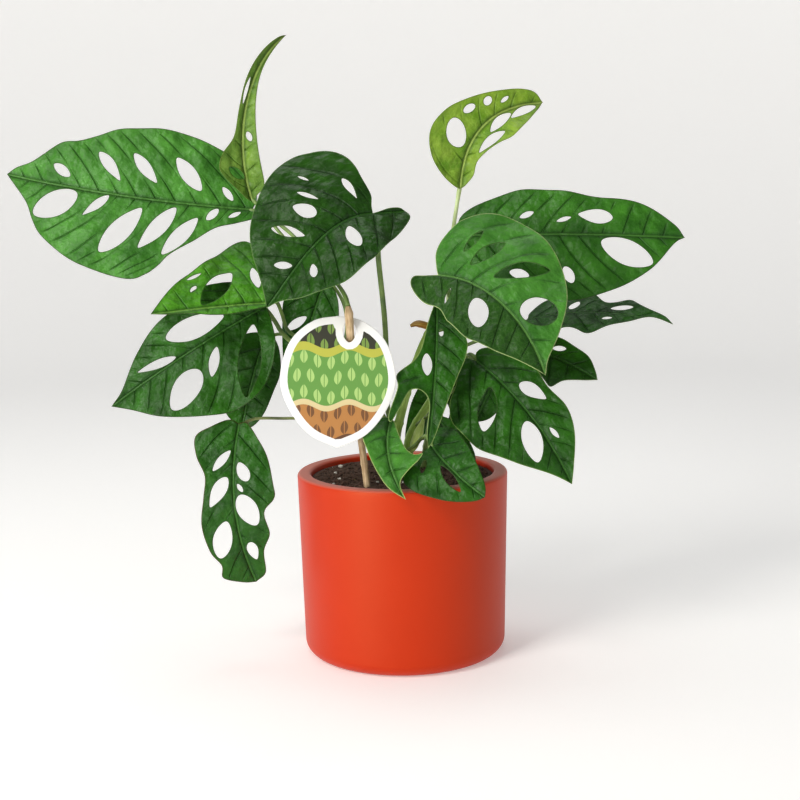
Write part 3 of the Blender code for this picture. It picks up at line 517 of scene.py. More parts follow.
def on_blade(leaf, along, out, lift=0.0):
    """Points of a blade in space, from distances along the midrib, out from it and above its middle.

    The midrib is the polynomial through its points. Each half rises from it by the fold angle, which
    changes with the distance by the curl, so a row across the blade is an arc. The blade ripples towards
    its margin by a sine of the distance along.
    """
    along, out = np.atleast_1d(along).astype(float), np.atleast_1d(out).astype(float)
    rib = np.asarray(leaf["rib"], float)
    steps = distances(rib)
    share = np.clip(along / steps[-1], 0, None)[:, None]
    curve = np.polyfit(steps / steps[-1], rib, len(rib) - 1)
    top = len(rib) - 1
    place = sum(share ** (top - k) * curve[k] for k in range(top + 1))
    ahead = sum((top - k) * share ** (top - k - 1) * curve[k] for k in range(top))
    place = place + np.minimum(along / steps[-1], 0)[:, None] * ahead
    ahead = unit(ahead)
    start, end = unit(leaf["face"])
    mix = np.clip(share, 0, 1)
    up = start * (1 - mix) + end * mix
    up = unit(up - (up * ahead).sum(1)[:, None] * ahead)
    left = np.cross(up, ahead)
    half = (out < 0).astype(int)
    fold = np.radians(leaf["fold"])[half]
    curl = np.radians(leaf["curl"])[half] / CURL_RUN + LEAST_CURL
    reach, side = np.abs(out), np.sign(out)
    tilt = fold + curl * reach
    sideways = (side * (np.sin(tilt) - np.sin(fold)) / curl)[:, None]
    rise = (np.cos(fold) - np.cos(tilt)) / curl
    wave = 2 * np.pi * along / RIPPLE_LENGTH + RIPPLE_SHIFT * half
    rise = rise + leaf["ripple"] * np.minimum(reach / RIPPLE_REACH, RIPPLE_MOST) ** 2 * np.sin(wave)
    normal = np.cos(tilt)[:, None] * up - (side * np.sin(tilt))[:, None] * left
    return place + sideways * left + rise[:, None] * up + np.reshape(lift, (-1, 1)) * normal


def oval(along, out, length, width, turn, taper=0.0, bend=0.0):
    """A hole's loop: an ellipse, the longer the more its ends are drawn to a point.

    The taper makes the far end wider than the near one, and the bend bows it, both as shares of its width.
    """
    count = max(HOLE_SIDES, int(length * HOLE_SIDES_PER_MM))
    turns = np.arange(count) * 2 * np.pi / count
    point = min(max(HOLE_DRAWN * (length / width - 1), 0), HOLE_POINT)
    x = length / 2 * np.cos(turns)
    y = width / 2 * (np.sin(turns) * (1 - point * np.cos(turns) ** 2) * (1 + taper * np.cos(turns)))
    y = y + bend * width * (0.5 - np.cos(turns) ** 2)
    turn = math.radians(turn)
    across = out + x * math.sin(turn) + y * math.cos(turn)
    return np.stack([along + x * math.cos(turn) - y * math.sin(turn), across], axis=1)


def inside(points, loop):
    """Whether each point lies in the loop, by counting the edges that a ray to the right crosses."""
    x, y = points[:, 0, None], points[:, 1, None]
    x1, y1 = loop.T
    x2, y2 = np.roll(loop, -1, axis=0).T
    rise = np.where(y2 == y1, LEVEL_EDGE_RISE, y2 - y1)
    crosses = ((y1 > y) != (y2 > y)) & (x < x1 + (y - y1) * (x2 - x1) / rise)
    return crosses.sum(1) % 2 == 1


def distance_to(points, loop):
    """Each point's distance to the loop's nearest edge."""
    step = np.roll(loop, -1, axis=0) - loop
    share = ((points[:, None] - loop) * step).sum(2) / (step**2).sum(1)
    nearest = loop + np.clip(share, 0, 1)[..., None] * step
    return np.linalg.norm(points[:, None] - nearest, axis=2).min(1)


def inset(loop, offset):
    """The loop moved sideways by the offset, along its own normals."""
    ahead = np.roll(loop, -1, axis=0) - np.roll(loop, 1, axis=0)
    normal = unit(np.stack([-ahead[:, 1], ahead[:, 0]], axis=1))
    return loop + offset * normal


def flat_sheet(outline, holes, step):
    """The outline less its holes, cut in small triangles.

    The triangles join the outline, the holes, rings just beside them and a grid of staggered rows. It
    returns the points, the triangles, and each point's distance from the outline and from each hole.
    """
    loops = [outline, *holes]
    offsets = [*EDGE_RINGS, *(-offset for offset in EDGE_RINGS)]
    rings = np.vstack([inset(loop, offset) for loop in loops for offset in offsets])
    low, high = outline.min(0), outline.max(0)
    rows = np.arange(low[1], high[1], step * ROW_STEP)
    x, y = np.meshgrid(np.arange(low[0], high[0], step), rows)
    x = x + 0.5 * step * (np.arange(len(rows)) % 2)[:, None]
    inner = np.vstack([rings, np.stack([x.ravel(), y.ravel()], axis=1)])
    least = np.where(np.arange(len(inner)) < len(rings), RING_CLEAR * EDGE_RINGS[0], EDGE_RINGS[-1])

    def on_sheet(places):
        kept = inside(places, outline)
        for hole in holes:
            kept &= ~inside(places, hole)
        return kept

    keep = on_sheet(inner)
    inner, least = inner[keep], least[keep]
    inner = inner[np.min([distance_to(inner, loop) for loop in loops], axis=0) > least]
    starts = np.cumsum([0, *map(len, loops)]).tolist()
    edges = [
        (first + k, first + (k + 1) % len(loop))
        for first, loop in zip(starts, loops) for k in range(len(loop))
    ]
    given = [tuple(point) for point in np.vstack([*loops, inner])]
    points, _, triangles, *_ = delaunay_2d_cdt(given, edges, [], TRIANGLES_INSIDE, SAME_POINT)
    points = np.array([tuple(point) for point in points])
    triangles = np.array(triangles)
    triangles = triangles[on_sheet(points[triangles].mean(axis=1))]
    used, triangles = np.unique(triangles, return_inverse=True)
    points, triangles = points[used], triangles.reshape(-1, 3)
    return points, triangles, np.array([distance_to(points, loop) for loop in loops])


def closed_sheet(name, points, triangles, place, lift, half_thick, **attributes):
    """The same triangles twice, half the thickness above and below the middle, joined at their edges."""
    count = len(points)
    ends = np.concatenate([triangles[:, [0, 1]], triangles[:, [1, 2]], triangles[:, [2, 0]]])
    key, back = ends[:, 0] * count + ends[:, 1], ends[:, 1] * count + ends[:, 0]
    rim = ends[~np.isin(key, back)]
    sides = np.stack([rim[:, 1], rim[:, 0], rim[:, 0] + count, rim[:, 1] + count], axis=1)
    faces = [*triangles.tolist(), *(triangles[:, ::-1] + count).tolist()]
    both = [place(points[:, 0], points[:, 1], lift + half) for half in (half_thick, -half_thick)]
    doubled = {label: np.concatenate([values, values]) for label, values in attributes.items()}
    under = np.repeat([0.0, 1.0], count)
    return build_mesh(name, np.vstack(both), sides, faces, under=under, **doubled)


def vein_bow(reach):
    """How far forward a vein of slant 1 has run at this distance r from the midrib: r (0.7 + r / 80)."""
    return reach * (VEIN_START + reach / VEIN_BEND)


def vein_count(leaf, along, out):
    """Counts the side veins, whole numbers on a vein.

    On each half the veins leave the midrib between its holes and slant forwards as the nearest holes do. A
    vein's place along is its foot plus its slant times its bow, so a point's foot is found from its place,
    first by the half's mean slant and then by the slant found there.
    """
    count = np.zeros(len(along))
    for side in (1, -1):
        holes = [hole[:5] for hole in leaf["holes"] if hole[1] * side > 0 and hole[2] > GUIDING_HOLE]
        at, off, size, width, turn = np.array(holes or [(*USUAL_HOLE, 90 - USUAL_TURN * side)], float).T
        off, turn = np.abs(off), np.radians(turn)
        lean = np.clip(side * np.cos(turn) / np.maximum(np.sin(turn), FLATTEST), SLANT_LEAST, SLANT_MOST)
        share = np.clip(size / width - ROUNDISH, 0, 1) * np.clip(size / LONG_HOLE, 0, 1)
        lean = (share * lean + (1 - share) * USUAL_SLANT) / (VEIN_START + 2 * off / VEIN_BEND)
        feet = at - lean * vein_bow(off)
        order = np.argsort(feet)
        feet, lean = feet[order], lean[order]
        groups = np.split(feet, np.nonzero(np.diff(feet) > 0.5 * SIDE_VEINS)[0] + 1)
        middles = np.array([group.mean() for group in groups])
        gaps = np.maximum(1, np.round(np.diff(middles) / SIDE_VEINS)).astype(int)
        first, last = middles[0] - SIDE_VEINS / 2, middles[-1] + SIDE_VEINS / 2
        between = [
            np.linspace(a, b, n + 1)[:-1] + (b - a) / (2 * n) for a, b, n in zip(middles, middles[1:], gaps)
        ]
        before = first - SIDE_VEINS * np.arange(1, VEINS_BEFORE + 1)[::-1]
        after = last + SIDE_VEINS * np.arange(1, VEINS_AFTER + 1)
        starts = np.concatenate([before, [first], *between, [last], after])
        mean = np.average(lean, weights=size[order] + HOLE_WEIGHT)
        here = out * side >= 0
        bow = vein_bow(np.abs(out[here]))
        foot = along[here] - mean * bow
        foot = along[here] - (mean + np.interp(foot, feet, lean)) / 2 * bow
        count[here] = np.interp(foot, starts, np.arange(len(starts)))
    return count


def leaf_skin(name, deep, fresh, vein, under="#6F8A55", edge=HOLE_LINE, dim=0.0):
    """Living leaf skin: waxy, mottled over 17 mm and clouded over 45 mm in deep and fresh green.

    It is puckered every 6 mm. The midrib, the side veins and a net of 3 mm between them are creased in, and
    painted shade in deeper green lies beside the midrib and side veins. The holes have a thin dark line, the
    margin a colour of its own, and painted shade may darken the right half.
    """
    made, tree = new_material(name)
    lie = add(tree, "Attribute", attribute_name="lie", output="Vector")
    rim, margin, below = (
        add(tree, "Attribute", attribute_name=label, output="Fac") for label in ("rim", "margin", "under")
    )
    place = add(tree, "TexCoord", output="Object")
    split = add(tree, "SeparateXYZ", {"Vector": lie}).node.outputs
    out = add(tree, "Math", {0: split["Y"]}, operation="ABSOLUTE")
    off_vein = add(tree, "Math", {0: split["Z"], 1: 0.5}, operation="PINGPONG")
    flat = add(tree, "Mapping", {"Vector": lie, "Scale": (1.0, 1.0, 0.0)})
    pucker = {"Vector": flat, "Scale": 1 / PUCKER, "Detail": 1.6, "Roughness": 0.45}
    pucker = add(tree, "TexNoise", pucker)
    net = add(tree, "TexVoronoi", {"Vector": flat, "Scale": 1 / NET_CELL}, feature="DISTANCE_TO_EDGE")
    mottle = {"Vector": place, "Scale": 1 / (MOTTLE * MM), "Detail": 3.0, "Roughness": 0.55}
    mottle = add(tree, "TexNoise", mottle)
    cloud = add(tree, "TexNoise", {"Vector": place, "Scale": 1 / (LEAF_CLOUD * MM), "Detail": 1.0})
    # Each mark changes from one strength to another between two values of a distance or a pattern.
    marks = dict(
        midrib=(out, 0.3, 1.2, 1.0, 0.0, "SMOOTHSTEP"),
        # Painted shade: a dark band beside the sunken midrib, and deeper green round the side veins.
        trough_shade=(out, 0.6, 3.6, 0.55, 0.0, "SMOOTHSTEP"),
        crease=(off_vein, 0.0, 0.07, 1.0, 0.0, "SMOOTHSTEP"),
        valley_shade=(off_vein, 0.0, 0.25, 0.55, 0.0, "SMOOTHSTEP"),
        fade=(rim, 0.8, 6.0, 0.0, 1.0, "LINEAR"),
        on_hole=(rim, 0.1, 0.7, 0.7, 0.0, "LINEAR"),
        on_edge=(margin, 0.1, 0.6, 0.85, 0.0, "LINEAR"),
        # Painted shade that darkens the right half of the blade.
        shaded_half=(split["Y"], -2.0, 1.0, dim, 0.0, "LINEAR"),
        net=(net, 0.0, 0.1, 1.0, 0.0, "LINEAR"),
        mottle=(mottle, 0.3, 0.7, 0.0, 1.0, "LINEAR"),
        cloud=(cloud, 0.45, 0.7, 0.0, 0.5, "LINEAR"),
    )
    for mark, (value, start, end, first, last, run) in marks.items():
        limits = {"From Min": start, "From Max": end, "To Min": first, "To Max": last}
        marks[mark] = add(tree, "MapRange", {"Value": value, **limits}, interpolation_type=run)
    # Painted shade lies in the side veins' creases, three tenths as strong as the crease.
    for mark, source, share in (
        ("crease", "crease", marks["fade"]), ("valley_shade", "valley_shade", marks["fade"]), ("shade", "crease", 0.3),
        ("net_tint", "net", 0.12), ("rib_tint", "midrib", 0.55),
    ):
        marks[mark] = add(tree, "Math", {0: marks[source], 1: share}, operation="MULTIPLY")
    veins = add(tree, "Math", {0: marks["midrib"], 1: marks["crease"]}, operation="MAXIMUM")
    # Layers of the leaf's own colours, and of painted shade beside the veins and over the right half.
    body = linear(deep)
    for mark, hex_colour in dict(
        mottle=fresh, cloud=deep, valley_shade=deep, shaded_half=HALF_SHADE, net_tint=vein, shade=VEIN_SHADE,
        trough_shade=VEIN_SHADE, rib_tint=vein, on_hole=HOLE_LINE, on_edge=edge,
    ).items():
        layer = {"Factor": marks[mark], "A": body, "B": linear(hex_colour)}
        body = add(tree, "Mix", layer, data_type="RGBA")
    back = {"Factor": veins, "A": linear(under), "B": linear(UNDER_VEIN)}
    back = add(tree, "Mix", back, data_type="RGBA")
    body = add(tree, "Mix", {"Factor": below, "A": body, "B": back}, data_type="RGBA")
    height = 0.0
    for value, depth in ((veins, -1.0), (marks["net"], -0.08), (pucker, 3.0)):
        height = add(tree, "Math", {0: value, 1: depth, 2: height}, operation="MULTIPLY_ADD")
    relief = add(tree, "Bump", {"Height": height, "Strength": 1.0, "Distance": 0.0008})
    sheen = add(tree, "MapRange", {"Value": marks["mottle"], "To Min": 0.46, "To Max": 0.32})
    return finished(made, add(tree, "BsdfPrincipled", {
        "Base Color": body, "Normal": relief, "Roughness": sheen, "IOR": 1.45, "Specular IOR Level": 0.22,
    }))


def on_vine(name, height):
    """The point on a vine's line at this height, or its tip."""
    line = smooth_line(VINES[name]["points"], TUBE_STEP)
    if height is None:
        return line[-1]
    return np.array([np.interp(height, line[:, 2], line[:, axis]) for axis in range(3)])


def grow_leaf(name, seat, radius, stalk, skin, stalk_skin=("#46622A", "#7F9A4C"), slot="leaf", **leaf):
    """One leaf: its blade, quilted and holed, and its stalk, which goes on under the blade as the midrib.

    rib gives points of the midrib, and face the way the blade looks at its start and its end. fold is how
    far its left and right half rise, in degrees, curl how much more in 10 mm, and ripple the waves' height.
    left and right are points of the margin, along the midrib and out from it. So are the first two numbers
    of each hole, and the others are oval's. seat is the vine and the height where the stalk leaves it.

    The sheet is lifted by a quilt, a power of the sine of the vein count, by a buckle, a product of two
    sines, and by a lip, a bell over the edge, and lowered by a groove, a bell over the midrib. The stalk is
    swollen by a bell at its knee, near the blade, and by another in its socket on the vine.
    """
    length = distances(np.asarray(leaf["rib"], float))[-1]
    right = smooth_line([NOTCH, *leaf["right"], (length, 0.0)], MARGIN_STEP)[:-1]
    left = smooth_line([NOTCH, *leaf["left"], (length, 0.0)], MARGIN_STEP)[:0:-1]
    holes = [oval(*hole) for hole in leaf["holes"]]
    outline = np.vstack([right, left])
    points, triangles, gaps = flat_sheet(outline, holes, BLADE_STEP)
    margin, rim = gaps[0], gaps.min(0)
    along, out = points.T
    reach = np.abs(out)
    count = vein_count(leaf, along, out)
    held = np.clip(rim / QUILT_FROM_EDGE, 0, 1)
    quilt = QUILT * (np.abs(np.sin(np.pi * count)) ** QUILT_ROUND - QUILT_SINK)
    groove = RIB_GROOVE * np.exp(-((out / GROOVE_HALF) ** 2)) * np.clip(rim / GROOVE_END, 0, 1)
    a, b, c, d = BUCKLE_LENGTHS
    buckle = BUCKLE * np.sin(along / a + out / b + BUCKLE_SHIFT) * np.sin(out / c - along / d)
    lip = LIP * np.exp(-((np.minimum(rim, LIP_END) / LIP_WIDTH) ** 2))
    lift = quilt * held * np.clip(reach / QUILT_FROM_RIB, 0, 1) - groove
    lift = lift + buckle * (held * np.clip(reach / BUCKLE_FROM_RIB, 0, 1)) + lip
    half_thick = BLADE / 2 * (EDGE_SHARE + (1 - EDGE_SHARE) * np.clip(rim / EDGE_RINGS[1], 0, 1))

    def place(at, across, above):
        return on_blade(leaf, at, across, above)

    marks = dict(lie=np.stack([along, out, count], axis=1), rim=rim, margin=margin)
    mesh = closed_sheet(name + "_blade", points, triangles, place, lift, half_thick, **marks)
    show(mesh, leaf_skin(name + " skin", **skin), slot, name)
    stations = np.linspace(MIDRIB_FROM, MIDRIB_REACH * length, MIDRIB_RINGS)
    on_rib = np.stack([stations, 0 * stations], axis=1)
    covered = inside(on_rib, outline) & (distance_to(on_rib, outline) > MIDRIB_START)
    on_rib = on_rib[: np.argmin(covered) or None]
    rib_radii = np.linspace(MIDRIB_START, MIDRIB_END, len(on_rib))
    rib_rim = np.min([distance_to(on_rib, loop) for loop in (outline, *holes)], axis=0)
    depth = RIB_GROOVE * np.clip(rib_rim / GROOVE_END, 0, 1) + MIDRIB_SUNK * rib_radii
    sunk = on_blade(leaf, on_rib[:, 0], on_rib[:, 1], -depth)
    free = smooth_line([on_vine(*seat), *stalk, sunk[0]], TUBE_STEP)[:-1]
    line = np.vstack([free, sunk])
    steps = distances(line)
    from_blade, from_vine = steps[len(free)] - steps[: len(free)], steps[: len(free)]
    knee = KNEE_SWELL * np.exp(-(((from_blade - KNEE_AT) / KNEE_AT) ** 2))
    socket = SOCKET_SWELL * np.exp(-((from_vine / SOCKET_LENGTH) ** 2))
    mesh = tube(name + "_stalk", line, np.concatenate([radius * (1 + knee + socket), rib_radii]))
    show(mesh, stem_skin(name + " stalk skin", *stalk_skin), slot)


# The skins: old leaves are deep green, and the darker palettes also paint the shade that they stand in.
# # Those in the light are painted fresher, and young ones are yellow green.
DARK = dict(deep="#163C06", fresh="#2A6012", vein="#386624")
MIDDLE = dict(deep="#2A5E18", fresh="#4A8830", vein="#508238")
BRIGHT = dict(deep="#357510", fresh="#559A22", vein="#7CAE4A", under="#7C9A58")
BROAD = dict(deep="#1E4E0C", fresh="#3A761E", vein="#4C8034")
LOWER = dict(deep="#17400A", fresh="#2C6216", vein="#42742E")
YOUNG = dict(deep="#41681C", fresh="#6E9034", vein="#98AE58", under="#8FA858", edge="#5A6E28")
PALE = dict(deep="#527C14", fresh="#86A236", vein="#A2B85C", under="#9CB062", edge="#6E8430")

# The leaves of the woody vine: the long one that reaches out to the left, and the young one above it.
grow_leaf(
    "leaf_left_upper",
    rib=[(-97, 12, 296), (-170, 4, 305), (-258, 20, 322)],
    face=[(0, -1, 0.35), (0, -1, 0.25)], fold=(8, 8), curl=(-2, -2), ripple=0.3,
    left=[(-3, 6), (9, 11), (22, 15.5), (35, 26), (48, 36), (54, 44), (61, 51), (71, 55.5),
          (94, 52), (110, 47), (128, 36.5), (137, 27), (146, 15)],
    right=[(-4, -8), (0, -20), (10, -33), (20, -38), (45, -46), (66, -47.5), (90, -44), (107, -37),
           (120, -31), (133, -27), (149, -12), (159, -6)],
    holes=[(127, -10, 14, 6.5, 155), (95, -18, 24, 7.5, 137, -0.3, 0.1), (71, -20, 25, 8, 136, -0.2),
           (41.5, -19.5, 27, 10.5, 132), (15, -9, 11, 4.5, 130), (125.5, 13, 31, 17.5, 38),
           (99, 9.5, 21, 6, 49, -0.35), (80, 23.5, 39, 14, 57, 0.1), (57.5, 19, 36, 10.5, 57, -0.2),
           (43, 23, 33, 10, 54), (24, 6, 11, 5, 50), (10, 5, 9, 3, 30)],
    seat=("vine_woody", None), radius=1.25,
    stalk=[(-34, -52, 243), (-40, -42, 251), (-52, -20, 262), (-70, 0, 280), (-88, 11, 293)],
    skin=MIDDLE,
)
grow_leaf(
    "leaf_young_upright",
    rib=[(-94, -4, 302), (-98, -10, 332), (-90.5, -8, 376), (-69.5, 10, 407)],
    face=[(0.1, -1, 0), (0.1, -1, 0)], fold=(22, 22), curl=(0, 0), ripple=0.3,
    left=[(2, 3), (10, 8), (19, 15), (24, 17), (31, 14), (41, 6), (58, 4.5), (76, 5), (92, 4.5),
          (110, 2.5)],
    right=[(2, -4), (8, -11), (19, -12), (43, -9.5), (67, -5.5), (84, -3), (104, -1.5)],
    holes=[(69, 2.6, 17, 2.2, 1), (41, -4.5, 6.5, 4, 30), (19, 5.8, 12, 5.5, 50)],
    seat=("vine_woody", 233), radius=1.1,
    stalk=[(-33, -45, 241), (-40, -32, 250), (-52, -13, 260), (-64, -16, 268), (-76, -13, 281),
           (-87, -7, 295)],
    skin=YOUNG, slot="young_leaf",
)

# The leaves of the centre vine: two broad ones in front, a narrow one between them and a small one.
grow_leaf(
    "leaf_centre_left",
    rib=[(-17, -30, 292), (-38, -44, 285), (-60, -56, 264), (-81, -62, 236)],
    face=[(0, -1, 0.4), (-0.15, -1, 0.15)], fold=(30, 4), curl=(-6, -4), ripple=0.8,
    left=[(-6, -1), (-15, -3), (-23, -2), (-25.5, 5), (-19, 13), (-5, 24), (14, 33), (38, 37),
          (58, 33), (76, 19), (86, 6)],
    right=[(-2, -5), (-4, -13), (-1, -26), (1.5, -40), (6, -49), (12, -54), (20, -57), (37, -52),
           (55, -42), (70, -29), (84, -11)],
    holes=[(6.5, -19, 16, 3.6, 98, -0.4), (34, -20, 15, 8, 111, 0.3), (49, -18, 21, 6.5, 112, -0.2),
           (22, -39, 7, 1.8, 112), (27, -26.5, 13, 2.8, 118, -0.2), (25, 15, 19, 10, 66, 0.25),
           (60, 13, 9.5, 5, 49, 0.2), (67, -7, 11, 4.5, 121)],
    seat=("vine_centre", 144), radius=1.8,
    stalk=[(-9, -8, 165), (-9, -9, 195), (-9.7, -13, 225), (-12.7, -19, 262), (-13.5, -23, 282)],
    skin=DARK | dict(deep="#123204", fresh="#244F0E", edge="#56763A", vein="#2F5C1C"),
)
grow_leaf(
    "leaf_right_front",
    rib=[(26, -40, 253), (53, -58, 244), (73, -72, 224), (87, -82, 194)],
    face=[(0.1, -1, 0.45), (0.1, -1, 0.15)], fold=(4, 10), curl=(-4, -5), ripple=0.8,
    left=[(-4, 5), (-8, 17), (-6, 31), (2, 42), (15, 53), (32, 53), (50, 46), (66, 34), (80, 18), (91, 5)],
    right=[(-10, -1), (-18, -2), (-18, -8), (-11, -16), (-1, -22), (12, -24), (28, -30.5),
           (50, -31), (68, -25), (85, -13)],
    holes=[(20, 23, 25, 7, 73), (11, 27, 18, 3.5, 80), (41, 24, 32, 9, 58), (64.5, 14, 22, 17, 58),
           (41.5, -14.5, 22, 13, 146), (13, -14, 11, 3, 100)],
    seat=("vine_centre", 215), radius=1.7,
    stalk=[(31, -13, 219), (34, -17, 232), (30, -28, 246)],
    # The right half is darkened by painted shade.
    skin=MIDDLE | dict(edge="#A4B878", vein="#5C8A40", dim=0.75),
)
grow_leaf(
    "leaf_centre",
    rib=[(24, -20, 233), (22, -42, 194), (16, -63, 147)],
    face=[(-0.15, -1, 0.2), (0.1, -1, 0.1)], fold=(6, 8), curl=(-3, -3), ripple=0.8,
    left=[(1, 4), (12, 9), (24, 19), (36, 19), (50, 14), (70, 8), (90, 3)],
    right=[(1, -2), (14, -6), (31, -9.5), (40, -14), (50, -24), (60, -23), (78, -27), (83, -25),
           (72, -20), (61, -15), (60, -8), (67, -2.5), (86, -2)],
    holes=[(42, -5.5, 15, 6.5, 5), (20, 3, 5, 3, 7)],
    seat=("vine_centre", None), radius=1.4,
    stalk=[(24, -14, 228)],
    skin=DARK | dict(edge="#8FA860"),
)
grow_leaf(
    "leaf_front_small",
    rib=[(-7, -38, 161), (-8, -63, 140), (2, -80, 119)],
    face=[(-0.1, -1, 0.3), (0, -1, -0.1)], fold=(15, 6), curl=(0, 0), ripple=0.3,
    left=[(1, 3), (14, 8), (30, 13), (38, 18), (40.5, 23), (44, 19), (47, 9), (51, 2)],
    right=[(-2, -4), (3, -11), (12, -16), (24, -12.5), (38, -9), (50, -6)],
    holes=[],
    seat=("vine_centre", 134), radius=1.2,
    stalk=[(-5, -14, 149), (-7, -26, 160), (-7, -33, 162.5)],
    skin=MIDDLE | dict(edge="#A4B86A"),
)

# The leaves of the right vine: the drooping one at its tip, and two small ones that hang to the rim.
grow_leaf(
    "leaf_right_lower",
    rib=[(50, -22, 196), (80, -44, 166), (106, -58, 122)],
    face=[(0.1, -1, 0.3), (0.1, -1, 0.1)], fold=(8, 10), curl=(-4, -4), ripple=0.8,
    left=[(-5, 4), (-3, 10), (8, 17), (24, 23), (42, 20), (58, 22), (74, 17), (90, 7)],
    right=[(-9, -5), (-4, -14), (3, -23), (9, -34), (20, -41), (41, -41), (56, -36), (74, -23.5),
           (91, -8)],
    holes=[(39, 11, 19, 8.5, 20, -0.35), (65.5, -8.9, 28, 13, 163, 0.1), (68, 6, 8.5, 3, 9),
           (30, -19, 31, 12, 134, -0.1)],
    seat=("vine_right", None), radius=1.4,
    stalk=[(42, -9, 197), (46, -16, 200)],
    skin=DARK | dict(edge="#6E8C44"),
)
grow_leaf(
    "leaf_over_rim",
    rib=[(19, -54, 147), (32, -72, 134), (50, -82, 120)],
    face=[(0, -1, 0.5), (0, -1, 0.3)], fold=(4, 4), curl=(-6, -6), ripple=0.4,
    left=[(-9, 4), (-11, 13), (-4, 18.5), (10, 18.5), (21, 17), (37, 11.5), (47, 5.5)],
    right=[(0, -4), (4, -15), (9, -27), (17, -26.5), (27, -21.5), (37, -15), (47, -6)],
    holes=[(27, -5, 21, 6, 171), (10, -12, 9, 3.5, 128)],
    seat=("vine_right", 134), radius=1.2,
    stalk=[(9, -14, 141), (13, -34, 149), (16, -47, 152)],
    skin=LOWER,
)
grow_leaf(
    "leaf_behind_rim_leaf",
    rib=[(24, -20, 158), (36, -30, 145), (47, -34, 129)],
    face=[(0.2, -1, 0.3), (0.2, -1, 0.2)], fold=(4, 4), curl=(-6, -6), ripple=0.4,
    left=[(-1, 3), (6, 6.5), (20, 7), (33, 4.5)],
    right=[(-1, -3), (6, -9), (18, -13), (31, -9)],
    holes=[],
    seat=("vine_right", 150), radius=1,
    stalk=[(15, -7, 157), (20, -15, 161)],
    skin=DARK,
)

# The leaves of the back left vine: two that lean out to the left, one that hangs low, and two behind.
grow_leaf(
    "leaf_left_tilted",
    rib=[(-88, 2, 235), (-122, -17, 234), (-157, -36, 231.5)],
    face=[(-0.1, -0.8, 0.65), (-0.1, -0.85, 0.55)], fold=(4, 4), curl=(-4, -2), ripple=0.6,
    left=[(0, 3.5), (16, 6.5), (30, 7.5), (41, 6.5), (55, 3), (68, 2)],
    right=[(-2, -10), (-6, -28), (-10, -46), (-7, -57), (8, -52), (23, -42), (38, -32.5), (52, -24),
           (66, -12.5)],
    holes=[(29.5, -15, 38, 13, 41), (0.5, -21, 17, 7, 85), (42, -25.5, 11, 2.5, 18),
           (45.5, -15.5, 7, 3, 42)],
    seat=("vine_back_left", 206), radius=1.3,
    stalk=[(-54, 18, 206), (-66, 22, 208), (-76, 24, 215), (-79, 20, 226), (-82, 10, 235)],
    skin=BRIGHT,
)
grow_leaf(
    "leaf_left_lower",
    rib=[(-89, 12, 232), (-141, 0, 202.5), (-194, 8, 167)],
    face=[(-0.15, -1, 0.25), (-0.1, -1, 0.2)], fold=(8, 8), curl=(-3, -3), ripple=0.8,
    left=[(0, 2), (2, 10), (7, 24), (13, 33), (22, 42), (32, 48), (43, 50.5), (60, 48), (81, 37),
          (98, 25.5), (114, 10)],
    right=[(-4, -7), (3, -18), (16, -29), (36, -33), (57, -29), (75, -25.5), (88, -19), (100, -12),
           (113, -4)],
    holes=[(47, -12, 41, 15, 170, -0.15), (82, -4.9, 28, 5.5, 168, 0.3), (74, 20.5, 32, 18, 21, -0.15),
           (48, 15, 20, 7, 49), (28, 27, 49, 14.5, 54)],
    seat=("vine_back_left", 197), radius=1.5,
    stalk=[(-50, 12, 195), (-66, 17, 202), (-78, 18, 212), (-84, 17, 222)],
    skin=DARK,
)
grow_leaf(
    "leaf_left_back",
    rib=[(-93, 40, 208), (-102, 32, 180), (-110, 30, 146)],
    face=[(-0.1, -1, 0.25), (-0.1, -1, 0.2)], fold=(6, 6), curl=(-3, -3), ripple=0.5,
    left=[(-2, 6), (6, 13), (20, 18), (34, 17), (50, 14), (61, 8)],
    right=[(-2, -7), (5, -17), (22, -21), (40, -19), (56, -13)],
    holes=[(44, -5.6, 8.5, 4, 80)],
    seat=("vine_back_left", 186), radius=1.1,
    stalk=[(-36, 22, 188), (-43, 33, 190), (-62, 41, 200), (-82, 44, 210)],
    skin=DARK,
)
grow_leaf(
    "leaf_left_hanging",
    rib=[(-108, -4, 154), (-111, -18, 107), (-99, -12, 50)],
    face=[(0, -1, 0.1), (0, -1, -0.1)], fold=(4, 4), curl=(-3, -3), ripple=1,
    left=[(-3, 5), (5, 13), (19, 22), (42, 27), (51, 26), (60, 19), (76, 20), (88, 13), (103, 9)],
    right=[(-3, -7), (3, -17.5), (10, -27), (21, -25), (33, -18.5), (46, -20), (62, -23), (80, -22),
           (90, -17), (98, -19), (105, -8)],
    holes=[(23, -8, 17, 5.5, 142), (43, -10, 22, 9, 147, 0.3), (74, -11.5, 25, 12.5, 156, -0.1),
           (30, 6.5, 14, 8, 26, 0.15), (41, 4.5, 6.5, 3, 31), (57, 8.5, 24, 13.5, 21, -0.1),
           (86, 6, 13, 7, 4, -0.3)],
    seat=("vine_back_left", 165), radius=1,
    stalk=[(-38, 5, 160), (-56, 2, 158), (-76, 0, 158), (-98, 0, 158)],
    skin=LOWER | dict(edge="#4F3A1E"), stalk_skin=("#3E4820", "#6E7840"),
)
grow_leaf(
    "leaf_behind_label",
    rib=[(-52, 40, 243), (-64, 30, 208), (-73, 25, 171)],
    face=[(0, -1, 0.2), (0, -1, 0.1)], fold=(6, 6), curl=(-3, -3), ripple=0.5,
    left=[(-2, 6), (6, 13), (20, 18), (38, 19), (56, 15), (70, 7)],
    right=[(-2, -7), (7, -18), (18, -22), (30, -19), (48, -14), (66, -8)],
    holes=[(30, -9, 16, 6, 140), (42, 7, 15, 6, 40), (57, -5, 11, 4, 150)],
    seat=("vine_back_left", 199), radius=1.2,
    stalk=[(-36, 24, 213), (-38, 40, 230), (-46, 46, 243)],
    skin=DARK,
)

